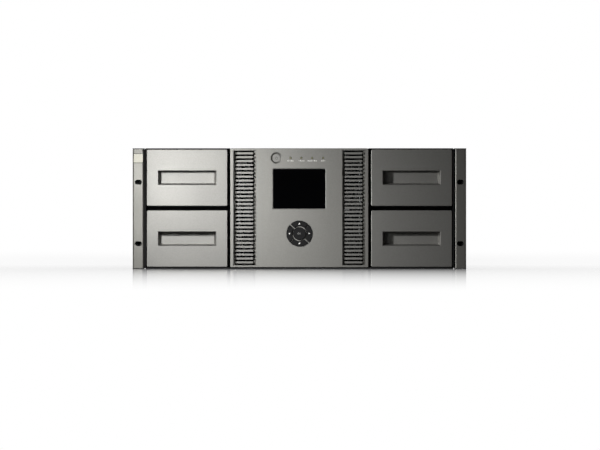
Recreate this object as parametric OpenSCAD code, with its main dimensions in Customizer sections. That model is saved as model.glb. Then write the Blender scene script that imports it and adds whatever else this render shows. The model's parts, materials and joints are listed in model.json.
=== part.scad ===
// Rack-mount data tape library, four rack units high: a sheet-metal chassis with four pull-out
// cartridge magazines, a control panel, a robot in the middle aisle and tape drives at the rear.
// The front faces -Y. Every module is drawn with y = 0 at the front plane; placed() moves it home.

/* [Front] */
// Width of the control panel
panel_w = 199.6; // [190:0.2:204]
// Width of a magazine front
magazine_front_w = 116.8; // [114:0.2:120]
// Height of the control panel
panel_h = 172.1; // [171:0.1:172.5]
// Height of a magazine front
magazine_front_h = 81.9; // [80.5:0.1:82.2]
// Gap between the upper and the lower magazine front
magazine_gap = 6.1; // [5:0.1:7]
// Height of the lower magazine front above the foot of the panel
magazine_lift = 0.6; // [0.5:0.1:1.2]
// Gap between the control panel and a magazine front
panel_gap = 3.9; // [3:0.1:5]
// Height of the panel above the surface that the chassis stands on
front_lift = 1.9; // [1.6:0.1:2.2]
// Depth of a magazine front
magazine_front_d = 22; // [20:0.5:23.5]
// Depth of the control panel
panel_d = 24; // [23:0.5:26]
// Wall of the moulded fronts
front_wall = 2.4; // [2:0.1:2.8]

/* [Grip recess] */
// Width of the finger recess
grip_w = 82.5; // [70:0.5:90]
// Height of the finger recess
grip_h = 19.4; // [17:0.2:24]
// Depth of the finger recess
grip_d = 16; // [12:0.5:18]
// Draft of the recess ends
grip_draft_x = 3; // [1:0.1:4]
// Draft of the recess top and bottom
grip_draft_z = 2; // [1:0.1:3]

/* [Vent grilles] */
// Distance of a grille from the middle of the panel
grille_x = 78.8; // [77:0.1:78.9]
// Width of a grille opening
grille_w = 33.8; // [31:0.2:34]
// Number of slats in a grille
slat_count = 29; // [25:1:30]
// Distance from slat to slat
slat_pitch = 5.63; // [5.2:0.01:5.7]
// Height of a slat
slat_h = 2.9; // [2.4:0.1:3.2]
// Width of a slat
slat_w = 26.4; // [24:0.2:27]
// Depth of the slat faces behind the panel's face
slat_inset = 1; // [0.5:0.1:1.5]
// Depth of the grille floor behind the panel's face
grille_floor_d = 7.5; // [6:0.1:8.5]

/* [Control panel] */
// Width of the display window
display_w = 75.5; // [70:0.5:80]
// Height of the display window
display_h = 57.1; // [52:0.1:60]
// Height of the display window's centre
display_z = 115.4; // [113:0.1:118]
// Height of the key cluster's centre
keys_z = 50.8; // [45:0.1:56]
// Outer radius of the key cluster
keys_r = 18.6; // [17:0.1:20]
// Radius of the middle key
middle_key_r = 9.1; // [8:0.1:9.6]
// Width of the ribs between the keys
key_rib = 1.8; // [1.6:0.1:2.2]
// How far the keys stand out of the panel
key_proud = 1.4; // [1:0.1:2]
// Travel of a key
key_travel = 1; // [0.6:0.1:1.2]
// Outer radius of the dish round the power button
power_dish_r = 8.4; // [7.5:0.1:9]
// Centre of the power button, left of the middle
power_x = 33.1; // [31:0.1:35]
// Height of the power button and the status lights
status_z = 160; // [158:0.1:161]
// Radius of the power button
power_r = 5.7; // [5:0.1:6]
// Travel of the power button
power_travel = 1.5; // [1:0.1:1.5]
// Place of the first status light
light_x = -12.8; // [-14:0.1:-12]
// Distance from light to light
light_pitch = 15.7; // [15:0.1:16]
// Radius of a status light
light_r = 1.5; // [1.2:0.1:1.8]
// Clearance round a key, button or light in its hole
hole_gap = 0.25; // [0.2:0.05:0.35]

/* [Rack ears] */
// Width of an ear cover
ear_w = 16.4; // [16:0.1:17]
// Height of an ear
ear_h = 172; // [168:0.5:173]
// Distance between the two columns of rack slots
slot_span_x = 465.1; // [464.5:0.1:465.7]
// Distance between the two rows of rack slots
slot_span_z = 88.9; // [44.45:44.45:88.9]
// Height of the lower rack slots
slot_low_z = 36.2; // [34:0.1:38]
// Length of a rack slot
slot_len = 10.3; // [9.5:0.1:11]
// Height of a rack slot
slot_h = 7; // [6.6:0.1:7.4]
// Thickness of an ear cover
ear_cover_t = 3.3; // [2.5:0.1:4]
// Thickness of the ear's steel flange
ear_flange_t = 2; // [1.5:0.1:2.5]
// Depth of the ear cover's face behind the magazine fronts
ear_inset = 1.5; // [1:0.1:2.5]

/* [Chassis] */
// Thickness of the chassis sheet
sheet = 1.5; // [1.2:0.1:1.6]
// Height of the fronts above the top cover
cover_drop = 3; // [2.5:0.1:3.4]
// Thickness of the front frame
frame_t = 2; // [1.5:0.1:2.5]
// Width of the flanges along the side walls
flange_w = 10; // [8:0.5:12]
// Thickness of the front frame's side cheeks
cheek_t = 1.9; // [1.5:0.1:2]
// Depth of the cheeks' edges behind the fronts
cheek_d = 1; // [0.5:0.1:2]
// Gap between a magazine front and the lips above and below it
lip_gap = 0.3; // [0.2:0.05:0.4]
// Gap between a magazine front and a cheek
cheek_gap = 1.1; // [0.8:0.1:1.4]

/* [Cartridges and magazines] */
// Width of a tape cartridge
cartridge_w = 102; // [101.5:0.1:102.4]
// Length of a tape cartridge
cartridge_l = 105.4; // [105:0.1:105.8]
// Thickness of a tape cartridge
cartridge_t = 21.5; // [21.2:0.1:21.6]
// Cartridge columns in a magazine
columns = 4; // [3:1:4]
// Cartridge rows in a magazine
rows = 3; // [2:1:3]
// Width of a magazine cell
cell_w = 103.5; // [103:0.1:104]
// Height of a magazine cell
cell_h = 22; // [21.8:0.1:22.1]
// Wall between magazine cells
cell_wall = 1.5; // [1.2:0.1:1.5]
// Depth at which the first cell begins
cells_start = 60; // [58:0.5:70]
// Height of a magazine cage above the foot of its front
cage_lift = 2.5; // [2.5:0.1:3]
// Clearance between a cage and the front frame or its runners
slide_gap = 0.3; // [0.2:0.05:0.5]

/* [Robot] */
// Half length of the carriage towards the front
carriage_front = 80; // [79:0.5:84]
// Half length of the carriage towards the rear
carriage_rear = 97; // [96.5:0.5:100]
// Distance of the lift's rods and screws from the middle
rod_x = 88; // [87.5:0.1:88.4]
// Distance of the rods and screws along the aisle
rod_y = 66; // [65:0.1:67]
// Radius of a guide rod or lift screw
rod_r = 3; // [2.5:0.1:3.2]
// Clearance of a shaft in its bearing
bearing_gap = 0.05; // [0.03:0.01:0.08]
// Tooth module of the gears and the rack
gear_module = 1.5; // [1.5:0.5:1.5]
// Teeth of the turntable's rim
turntable_teeth = 94; // [90:2:94]
// Teeth of the turntable's pinion
turn_pinion_teeth = 22; // [22:1:24]
// Teeth of the carriage pinion
drive_pinion_teeth = 14; // [14:1:14]
// Play between meshing teeth
backlash = 0.2; // [0.15:0.05:0.3]
// Size of the carriage motors
motor_size = 20; // [18:0.5:21]
// Radius of a belt pulley
pulley_r = 6; // [5.5:0.1:6.5]
// Thickness of the lift belt
belt_t = 1.2; // [1:0.1:1.4]

/* [Rear] */
// Length of a tape drive
drive_l = 203; // [195:1:215]
// Width of a tape drive
drive_w = 146; // [144:0.5:147]
// Height of a tape drive
drive_h = 81.4; // [80:0.1:81.8]
// Length of a power supply
supply_l = 190; // [170:1:200]
// Width of a power supply
supply_w = 126; // [110:1:128]
// Height of a power supply
supply_h = 79; // [76:0.5:80]
// Radius of a power supply's fan
fan_r = 29; // [25:0.5:30]
// Blades of a fan
fan_blades = 7; // [5:1:9]
// Height of the controller module
controller_h = 58; // [50:1:70]
// Reach of the rear handles behind the rear panel
handle_reach = 13.6; // [12:0.1:18]

/* [Hidden] */
$fn = 48;
eps = 0.01;

// Fronts
magazine_z = [for (level = [0, 1])
    front_lift + magazine_lift + level * (magazine_front_h + magazine_gap)];
magazines_top = magazine_z[1] + magazine_front_h;
lip_h = 1.6;
front_top = magazines_top + lip_h;
panel_mid_z = front_lift + panel_h / 2;
magazine_x0 = panel_w / 2 + panel_gap;
magazine_x1 = magazine_x0 + magazine_front_w;
corner_r = 2.6;
edge_r = 0.9;
board_d = 11;
board_t = 1.6;
switch_h = 2;
seat_gap = 0.1;
rim = 0.9;
grip_wall = 2;
grip_boss_r = 4;
grip_boss_x = 44;
grip_boss_z = 28;
key_flange = 0.45;
key_flange_t = 1.2;
key_mark_r = (keys_r + middle_key_r + key_rib) / 2;
rib_inset = 0.8;
stem_gap = 0.3;
stem_r = 2.2;
switch_w = 6;
window_inset = 0.6;
window_t = 1.2;
window_rebate = window_inset + window_t;
window_corner_r = 1;
window_ledge = 2;
power_flange = 0.9;
power_dish_d = 1.5;
post_r = 3.2;
post_bore_r = 1.4;
board_w = 118;
board_h = 142;
shelf_inset = 0.5;
shelf_lip_h = 10;
shelf_flange_h = 12;
shell_corner_r = 2.5;
shell_edge_r = 1.2;
label_d = 0.7;
label_inset = 10;
label_rim = 3;
notch_x = [12, 19];
notch_d = 2;
hub_offset = 8;
hub_hole_r = 14;
hub_hole_d = 1.4;
door_l = 30;
door_y = [4, 14];
board_rise = 4;
board_corner_r = 2;
post_x = 54;
post_z = [32, 150];
plug_block_z = [70, 78];
plug_block_t = 5;
power_switch_rise = 1.9;
plug_block_w = 24;
grille_rim = 0.6;
grille_flange = 1.2;
slat_tip = 1.4;
slat_slot = 0.6;
grille_back_t = 1.4;

// How far a cutter reaches past what it cuts.
cut = 1;

// Chassis
chassis_w = 2 * (magazine_x1 + cheek_gap + cheek_t);
inner_x = chassis_w / 2 - sheet;
cover_top = front_top - cover_drop;
wall_top = cover_top - sheet;
frame_d = panel_d;
chassis_d0 = frame_d + frame_t;
ear_slot_offset = 0.25;
ear_x1 = slot_span_x / 2 + ear_slot_offset + ear_w / 2;
ear_x0 = ear_x1 - ear_w;
ear_z0 = 0.8;
ear_d = ear_inset + ear_cover_t;
ear_leg_d = 92;
ear_corner_r = 1.5;
ear_edge_r = 2.4;
ear_leg_foot = 3.2;
ear_leg_drop = 7.3;
frame_corner_r = 2.5;
frame_border = 14;
screw_r = 1.6;
screw_l = 5;
screw_head_r = 3;
screw_head_h = 1.6;
board_screw_r = 1.3;
board_screw_h = 1.5;
board_screw_head_r = 2.5;
ear_screw_d = 74;
ear_screw_z = [22, 60, 112, 150];
cover_screw_inset = 40;
cover_screws_per_side = 5;
rail_hole_r = 2;
rail_hole_d = [150, 560];
rail_hole_z = [40, 128];
rail_holes = [for (d = rail_hole_d, z = rail_hole_z) [d, z]];
side_vents = 8;
side_vent_pitch = 9;
side_vent_w = 3.6;
side_vent_h = 110;
side_vent_d = 150;

// Cartridges and magazines
cage_wall = 1.5;
cage_x0 = magazine_x0 + 0.3;
cell_l = cartridge_l + 3.6;
cage_x1 = cage_x0 + cell_l + cage_wall;
cage_h = rows * (cell_h + cell_wall) + cell_wall;
cage_d1 = cells_start + columns * (cell_w + cell_wall) + cell_wall;
cage_slot_x = 20;
cage_slot_z = 5;
cage_hole_w = 60;
cage_hole_l = 72;
column_pitch = cell_w + cell_wall;
row_pitch = cell_h + cell_wall;
opening_gap = 0.8;
window_border = 30;
runner_w = 8;
rack_overrun = 43;
back_wall_d = cage_d1 + 2;

// Aisle and carriage
home_d = cells_start + cell_wall + cell_w / 2;
carriage_travel = (columns - 1) * column_pitch;
aisle_end = home_d + carriage_travel + carriage_rear + 3;
mouth_d = aisle_end + 1;
ring_x = cage_x0 - 3.4;
ring_bar = 4;
ring_z = 2.6;
ring_t = 1.9;
rail_foot_t = 0.8;
rail_lip_x = ring_x + 0.5;
rail_lip_t = 1.5;
platform_z = 1.9;
platform_t = 1.2;
platform_r = 76.4;
turntable_z = platform_z + platform_t + 0.2;
turntable_t = 1.2;
tray_z = turntable_z + turntable_t + slide_gap;
tray_floor_t = 1.4;
tray_half_w = 53.8;
tray_half_l = 57;
tray_wall_t = 1.2;
tray_wall_h = 20;
lug_z = ring_z + ring_t + 0.4;
lug_h = 9;
lug_r = 6.5;
top_ring_z = magazine_z[1] + cage_lift + cage_h - cell_wall - 0.2;
top_ring_t = 1.4;
gear_z = top_ring_z + top_ring_t + 0.3;
gear_t = 2.7;
addendum = 0.8 * gear_module;
dedendum = 1.25 * gear_module;
drive_pinion_r = gear_module * drive_pinion_teeth / 2;
motor_x = 88.5;
motor_y = carriage_rear - 11;
motor_l = 32;
shaft_r = 2.5;
rack_pitch_x = motor_x + drive_pinion_r;
turn_gear_r = gear_module * turntable_teeth / 2;
turn_pinion_r = gear_module * turn_pinion_teeth / 2;
turn_centre = turn_gear_r + turn_pinion_r + 0.05;
turn_angle = 45;
turn_motor_r = 7.2;
rod_clear = 8;
wing_overlap = 8;
web_y = [tray_half_w + 0.6, rod_y - rod_clear - slide_gap];
post_t = 1.5;
rear_post_l = 12;
front_post_l = 8;
window_x = 80;
window_front = 3;
window_rear = 5;
shaft_clear = 1.5;
motor_corner_r = 2;
motor_shaft_l = 18;
motor_bore_l = 20;
pinion_phase = 4;
belt_gap = 0.12;
screw_end_gap = 0.2;
belt_inset = 0.3;
hub_r = 8;
platform_hole_r = 14;
platform_hole_x = 42;
lug_arm_half = 4;
pinion_clear = 2.5;
bracket_gap = 0.5;
bracket_t = 1.6;
bracket_half = 5;
bracket_z = turntable_z + turntable_t + bracket_gap;
turntable_hole_r = 13;
turntable_hole_x = 40;
turn_motor_h = 19;
turn_shaft_l = 10;
tray_stop_h = 12;
tray_slot_z = [9, 12];
tray_slot_inset = 8;
tray_hole_x = 30;
tray_hole_y = [-30, 38];
grip_clear = 0.3;
grip_side_clear = 0.35;
grip_plate_t = 3.2;
grip_plate_h = 18;
grip_claw_w = 4;
grip_claw_l = 7;
grip_claw_h = 6;
grip_pad_x = 20;
grip_pad_t = 2.3;
grip_pad_z = [2, 14];
runner_l = [10, 18];
runner_reach = 1.2;
runner_arm_t = 1.5;
reader_w = 13;
reader_y = [-26, 6];
reader_z = [4, 19];
reader_rim = 3;
reader_window_d = 0.6;

// Rear
rear_d = mouth_d + drive_l + 12.8;
bay_x = 84;
step_x = cage_x0 - 1;
drive_z = [2.2, 85.4];
sled_t = 1;
face_t = 1.5;
supply_z = [sheet + slide_gap, 86.6];
supply_x = 88;
shelf_z = supply_z[1] - slide_gap - sheet;
drive_open_x = 80;
handle_t = 4.5;
handle_inset = 9;
fan_x = 42;
fan_d = 25.5;
fan_t = 20;
fan_hub_r = 13;
fan_pitch = 38;
fan_gap = 1.5;
fan_well_d = 28;
blade_t = 1.8;
ring_pitch = 7;
wire_t = 1.2;
guard_d = 3;
spoke_d = 0.9;
spoke_half = 1;
axle_r = 4;
inlet_x = 100;
inlet_w = 26;
inlet_h = 19;
inlet_d = 18;
inlet_z = 12;
inlet_wall = 4;
supply_vent_pitch = 4.6;
supply_vent_w = 2.4;
supply_vent_h = 24;
supply_vent_z = 54;
sled_clear = 1.2;
sled_face_overlap = 2.6;
sled_face_gap = 0.8;
sled_window_x = 50;
sled_window_end = 30;
sled_vents = 15;
sled_vent_pitch = 7;
sled_vent_z = 56;
sled_vent_w = 3.4;
sled_vent_h = 34;
port_x = [20, 54];
port_z = [12, 26];
thumb_r = 4.5;
thumb_h = 7;
thumb_inset = 6;
thumb_z = 12;
sled_handle_x = -62;
sled_handle_w = 51;
sled_handle_z = [14, 24];
sled_handle_t = 5;
drive_gap = 2;
mouth_rise = 14;
mouth_depth = 60;
connector_x = 34;
connector_half = 13;
connector_z = [10, 24];
connector_d = 8;
wing_z = 40;
wing_t = 1.2;
rail_w = 4.6;
rear_flange_d = 12;
module_gap = 0.4;
controller_clear = 0.5;
controller_side_h = 22;
controller_port_d = 14;
network_x = [20, 39];
network_w = 16;
network_z = [12, 26];
serial_x = [64, 77];
serial_z = [14, 20];
controller_board_inset = 4;
controller_board_end = 16;
controller_board_z = 6;
foot_inset = 8;
foot_w = 4;
controller_thumb_r = 4;
controller_thumb_h = 6;
controller_thumb_inset = 5;
controller_thumb_z = 32;
wall_vents = 9;
wall_vent_pitch = 9.5;
wall_vent_w = 4;
wall_vent_h = 120;
wall_vent_x = 22;
rear_vents = 22;
rear_vent_pitch = 5;
rear_vent_w = 2.6;
rear_vent_h = 74;
overall_depth = key_proud + rear_d + handle_reach;
front_y = -overall_depth / 2 + key_proud;

// ---------- helpers ----------

// Moves what was drawn with its front plane at y = 0 to the chassis centre.
module placed() {
    translate([0, front_y, 0]) children();
}

// A box between two places along each axis.
module span(x, y, z) {
    translate([x[0], y[0], z[0]])
        cube([x[1] - x[0], y[1] - y[0], z[1] - z[0]]);
}

// Draws the children, and once more mirrored to the left side.
module both_sides() {
    children();
    mirror([1, 0, 0]) children();
}

// Draws the children on the right (1) or on the left (-1).
module on_side(side) {
    if (side < 0) mirror([1, 0, 0]) children();
    else children();
}

// Extrudes a shape drawn as seen from the front, from y0 to y1.
module along_y(y0, y1) {
    translate([0, y1, 0]) rotate([90, 0, 0]) linear_extrude(y1 - y0) children();
}

// Extrudes a shape drawn as [depth, height] from x0 to x1.
module along_x(x0, x1) {
    translate([x0, 0, 0]) rotate([90, 0, 90]) linear_extrude(x1 - x0) children();
}

// Extrudes a shape drawn as [across, depth] from z0 to z1.
module along_z(z0, z1) {
    translate([0, 0, z0]) linear_extrude(z1 - z0) children();
}

// A rectangle round its middle with round corners.
module rounded(w, h, r) {
    square([w - 2 * r, h], center = true);
    square([w, h - 2 * r], center = true);
    for (x = [-1, 1], y = [-1, 1])
        translate([x * (w / 2 - r), y * (h / 2 - r)]) circle(r);
}

// A bar of the width w and depth d whose two front corners are round.
module rounded_front(w, d, r) {
    translate([-w / 2, r]) square([w, d - r]);
    translate([-w / 2 + r, 0]) square([w - 2 * r, r + eps]);
    for (x = [-1, 1]) translate([x * (w / 2 - r), r]) circle(r);
}

// A moulded front, centred in x and z, with round corners and round front edges.
module moulded_front(w, h, d) {
    intersection() {
        along_y(0, d) rounded(w, h, corner_r);
        along_z(-h / 2, h / 2) rounded_front(w, d, edge_r);
        along_x(-w / 2, w / 2) mirror([1, -1, 0]) rounded_front(h, d, edge_r);
    }
}

// A hole along y of radius r at [x, z] from y0 to y1.
module bore_y(x, z, r, y0, y1) {
    translate([x, y1, z]) rotate([90, 0, 0]) cylinder(r = r, h = y1 - y0);
}

// Involute of an angle, in degrees.
function involute(a) = tan(a) * 180 / PI - a;

// Half the angle that a tooth spans at the radius r.
function tooth_half_angle(teeth, r) =
    let (pitch_r = gear_module * teeth / 2, base_r = pitch_r * cos(20))
    (PI * gear_module - backlash) / 4 / pitch_r * 180 / PI
        + involute(20) - involute(acos(min(1, base_r / r)));

// The radii at which a tooth's flank has a point, from root to tip.
function flank_radii(teeth, steps) =
    let (pitch_r = gear_module * teeth / 2,
         root = pitch_r - dedendum,
         start = max(root, pitch_r * cos(20)),
         tip = pitch_r + addendum)
    concat(start > root ? [root] : [], [for (i = [0:steps]) start + (tip - start) * i / steps]);

// The outline of a spur gear with one tooth centred on the x axis.
module gear_outline(teeth, steps) {
    radii = flank_radii(teeth, steps);
    last = len(radii) - 1;
    flank = [for (r = radii) [r, tooth_half_angle(teeth, r)]];
    polygon([for (i = [0:teeth - 1], side = [-1, 1], k = [0:last])
        let (f = flank[side < 0 ? k : last - k], a = i * 360 / teeth + side * f[1])
        f[0] * [cos(a), sin(a)]]);
}

// ---------- chassis ----------

module base_pan() {
    color("silver") placed() difference() {
        union() {
            span([-chassis_w / 2, chassis_w / 2], [chassis_d0, rear_d], [0, sheet]);
            both_sides() {
                span([inner_x, chassis_w / 2], [chassis_d0, rear_d], [0, wall_top]);
                span([inner_x - flange_w, inner_x + eps], [chassis_d0, rear_d - sheet - seat_gap],
                    [wall_top - sheet, wall_top]);
            }
        }
        for (p = cover_screws()) translate([p[0], p[1], wall_top - 2 * sheet])
            cylinder(r = screw_r, h = 3 * sheet);
        both_sides() {
            for (p = rail_holes) side_bore(p, rail_hole_r);
            for (z = ear_screw_z) side_bore([ear_screw_d, z], screw_r);
            for (i = [0:side_vents - 1]) along_x(inner_x - cut, chassis_w / 2 + cut)
                translate([rear_d - side_vent_d + i * side_vent_pitch, wall_top / 2])
                    upright_slot(side_vent_w, side_vent_h);
        }
    }
}

// A round hole through the right side wall at p, as [depth, height].
module side_bore(p, r) {
    translate([inner_x - cut, p[0], p[1]]) rotate([0, 90, 0])
        cylinder(r = r, h = sheet + 2 * cut);
}

// The outline of an upright slot with round ends, round its middle.
module upright_slot(w, h) {
    square([w, h - w], center = true);
    for (side = [-1, 1]) translate([0, side * (h - w) / 2]) circle(w / 2);
}

// Places of the screws that hold the top cover down, as [x, depth].
function cover_screws() =
    let (first = chassis_d0 + cover_screw_inset,
         step = (rear_d - cover_screw_inset - first) / (cover_screws_per_side - 1))
    [for (side = [-1, 1], i = [0:cover_screws_per_side - 1])
        [side * (inner_x - flange_w / 2), first + i * step]];

module top_cover() {
    color("silver") placed() difference() {
        span([-chassis_w / 2, chassis_w / 2], [chassis_d0, rear_d], [wall_top, cover_top]);
        for (p = cover_screws()) translate([p[0], p[1], wall_top - cut])
            cylinder(r = screw_r, h = sheet + 2 * cut);
    }
}

module front_frame() {
    bar_x = cage_x0 - opening_gap;
    mid_z = front_top / 2;
    color("#2b2b2c") placed() difference() {
        intersection() {
            union() {
                span([-chassis_w / 2, chassis_w / 2], [frame_d, chassis_d0], [0, front_top]);
                both_sides() {
                    span([chassis_w / 2 - cheek_t, chassis_w / 2], [cheek_d, chassis_d0],
                        [0, front_top]);
                    for (z = [[0, magazine_z[0] - lip_gap], [magazines_top + lip_gap, front_top]])
                        span([panel_w / 2 + lip_gap, chassis_w / 2], [cheek_d, chassis_d0], z);
                }
                span([-panel_w / 2 - cut, panel_w / 2 + cut], [cheek_d, chassis_d0],
                    [0, front_lift - lip_gap]);
            }
            along_y(0, chassis_d0) translate([0, mid_z])
                rounded(chassis_w, front_top, frame_corner_r);
        }
        both_sides() for (z = magazine_z)
            span([bar_x, cage_x1 + opening_gap], [frame_d - cut, chassis_d0 + cut],
                [z + cage_lift - opening_gap, z + cage_lift + cage_h + opening_gap]);
        span([frame_border - bar_x, bar_x - frame_border], [frame_d - cut, chassis_d0 + cut],
            [frame_border, wall_top - frame_border]);
    }
}

module bay_walls() {
    color("silver") placed() both_sides() {
        top = wall_top - sheet;
        difference() {
            union() {
                span([step_x, inner_x], [back_wall_d, back_wall_d + sheet], [sheet, top]);
                span([step_x, step_x + sheet], [back_wall_d, mouth_d], [sheet, top]);
                span([bay_x, step_x + sheet], [mouth_d - sheet, mouth_d], [sheet, top]);
                span([bay_x, bay_x + sheet], [mouth_d - sheet, rear_d - sheet], [sheet, top]);
                span([bay_x, inner_x], [rear_d - sheet - supply_l, rear_d - sheet],
                    [shelf_z, shelf_z + sheet]);
                for (z = drive_z) drive_rail(z);
            }
            for (i = [0:wall_vents - 1]) along_y(back_wall_d - cut, back_wall_d + sheet + cut)
                translate([step_x + wall_vent_x + i * wall_vent_pitch, wall_top / 2])
                    upright_slot(wall_vent_w, wall_vent_h);
        }
    }
}

// The angle on a bay wall that carries a drive sled's wing.
module drive_rail(z) {
    span([bay_x - rail_w, bay_x + eps], [mouth_d, rear_d - sheet],
        [z + wing_z - slide_gap - sheet, z + wing_z - slide_gap]);
    span([bay_x - rail_w, bay_x + eps], [mouth_d, rear_d - sheet],
        [z + wing_z + wing_t + slide_gap, z + wing_z + wing_t + slide_gap + sheet]);
}

module rear_panel() {
    color("silver") placed() difference() {
        union() {
            span([-inner_x, inner_x], [rear_d - sheet, rear_d], [sheet, wall_top]);
            span([rear_flange_d - inner_x, inner_x - rear_flange_d],
                [rear_d - rear_flange_d, rear_d], [wall_top - sheet, wall_top]);
        }
        span([-drive_open_x, drive_open_x], [rear_d - rear_flange_d - cut, rear_d + cut],
            [drive_z[0] - module_gap, wall_top - sheet - slide_gap]);
        for (z = supply_z)
            span([supply_x - module_gap, supply_x + supply_w + module_gap],
                [rear_d - sheet - cut, rear_d + cut],
                [z - module_gap / 2, z + supply_h + module_gap]);
        span([-supply_x - supply_w, -supply_x], [rear_d - sheet - cut, rear_d + cut],
            [sheet + slide_gap, sheet + controller_h]);
        for (i = [0:rear_vents - 1]) along_y(rear_d - sheet - cut, rear_d + cut)
            translate([-supply_x - 2 * rear_vent_pitch - i * rear_vent_pitch,
                (sheet + controller_h + wall_top) / 2]) upright_slot(rear_vent_w, rear_vent_h);
    }
}

module magazine_guides() {
    color("#3a3b3d") placed() both_sides() {
        for (x = [cage_x0 + runner_w, cage_x1 - 2 * runner_w])
            span([x, x + runner_w], [chassis_d0, back_wall_d],
                [sheet, magazine_z[0] + cage_lift - slide_gap]);
        magazine_shelf();
    }
}

// The sheet that the upper magazine runs on.
module magazine_shelf() {
    z1 = magazine_z[1] + cage_lift - slide_gap;
    shelf_x = cage_x0 + shelf_inset;
    difference() {
        union() {
            span([shelf_x, inner_x], [chassis_d0, back_wall_d], [z1 - sheet, z1]);
            span([shelf_x, shelf_x + sheet], [chassis_d0, back_wall_d],
                [z1 - shelf_lip_h, z1]);
            span([inner_x - sheet, inner_x], [chassis_d0, back_wall_d],
                [z1 - shelf_flange_h, z1]);
        }
        for (i = [0:columns - 1]) translate([(cage_x0 + cage_x1) / 2,
            cells_start + (i + 0.5) * column_pitch, z1 - sheet / 2])
            cube([cell_l - window_border, cell_w - window_border, 2 * sheet], center = true);
    }
}

// ---------- rack ears ----------

// One obround rack slot, round its middle, as seen from the front.
module rack_slot() {
    square([slot_len - slot_h, slot_h], center = true);
    for (x = [-1, 1]) translate([x * (slot_len - slot_h) / 2, 0]) circle(slot_h / 2);
}

module rack_slots(y0, y1) {
    for (z = [0, slot_span_z]) along_y(y0, y1)
        translate([slot_span_x / 2, slot_low_z + z]) rack_slot();
}

module ear_brackets() {
    color("silver") placed() both_sides() difference() {
        union() {
            span([chassis_w / 2, ear_x1], [ear_d, ear_d + ear_flange_t], [ear_z0, ear_z0 + ear_h]);
            span([chassis_w / 2, chassis_w / 2 + ear_flange_t], [ear_d, ear_leg_d],
                [ear_z0 + ear_leg_foot, ear_z0 + ear_h - ear_leg_drop]);
        }
        rack_slots(ear_d - cut, ear_d + ear_flange_t + cut);
        for (z = ear_screw_z) translate([chassis_w / 2 - cut, ear_screw_d, z])
            rotate([0, 90, 0]) cylinder(r = screw_r, h = ear_flange_t + 2 * cut);
    }
}

module ear_cover(side) {
    color("#9a9894") placed() on_side(side) difference() {
        intersection() {
            along_y(ear_inset, ear_d) translate([(ear_x0 + ear_x1) / 2, ear_z0 + ear_h / 2])
                rounded(ear_w, ear_h, ear_corner_r);
            along_z(ear_z0, ear_z0 + ear_h) translate([(ear_x0 + ear_x1) / 2, ear_inset])
                rounded_front(ear_w, ear_cover_t, ear_edge_r);
        }
        rack_slots(ear_inset - cut, ear_d + cut);
    }
}

// ---------- control panel ----------

// The outline of one ring key pointing up, larger by grow on every side.
module ring_key(grow) {
    gap = key_rib / 2 - grow;
    intersection() {
        difference() {
            circle(keys_r + grow);
            circle(middle_key_r + key_rib - grow);
        }
        rotate(45) translate([gap, gap]) square(2 * keys_r);
    }
}

module front_panel() {
    through = front_wall + cut;
    color("#9a9894") placed() difference() {
        union() {
            difference() {
                translate([0, 0, panel_mid_z]) moulded_front(panel_w, panel_h, panel_d);
                span([front_wall - panel_w / 2, panel_w / 2 - front_wall],
                    [front_wall, panel_d + cut],
                    [front_lift + front_wall, front_lift + panel_h - front_wall]);
            }
            for (p = board_posts()) bore_y(p[0], p[1], post_r, front_wall - eps, board_d);
        }
        for (x = [-grille_x, grille_x]) along_y(-cut, through)
            translate([x, panel_mid_z]) square([grille_w, grille_h()], center = true);
        display_opening(through);
        translate([0, 0, keys_z]) {
            along_y(-cut, through) {
                circle(middle_key_r + hole_gap);
                for (a = [0:90:270]) rotate(a) ring_key(hole_gap);
            }
            along_y(-cut, rib_inset) circle(keys_r + hole_gap);
        }
        bore_y(-power_x, status_z, power_r + hole_gap, -cut, through);
        translate([-power_x, 0, status_z]) rotate([-90, 0, 0])
            cylinder(r1 = power_dish_r, r2 = power_r + hole_gap, h = power_dish_d);
        for (i = [0:3])
            bore_y(light_x + i * light_pitch, status_z, light_r + hole_gap, -cut, through);
    }
}

// The cut for the display: a bevelled rim, the rebate for the window and the hole behind it.
module display_opening(through) {
    w = display_w / 2;
    h = display_h / 2;
    translate([0, 0, display_z]) {
        along_y(-cut, through)
            rounded(display_w - 2 * window_ledge, display_h - 2 * window_ledge,
                window_corner_r);
        along_y(-cut, window_rebate) rounded(display_w, display_h, window_corner_r);
        intersection() {
            along_z(-h - rim, h + rim) bevel_plan(w);
            along_x(-w - rim, w + rim) mirror([1, -1, 0]) bevel_plan(h);
        }
    }
}

// Half an opening's plan with a bevelled mouth: half is its half width below the rim.
module bevel_plan(half) {
    polygon([[-half - rim, -cut], [half + rim, -cut], [half + rim, 0], [half, window_inset],
        [-half, window_inset], [-half - rim, 0]]);
}

// Height of a grille opening, with a gap above the top slat and below the lowest.
function grille_h() = (slat_count + 1) * slat_pitch - slat_h + 1;

// Places of the posts that carry the board, as [across, height].
function board_posts() = [for (x = [-post_x, post_x], z = post_z) [x, z]];

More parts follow.
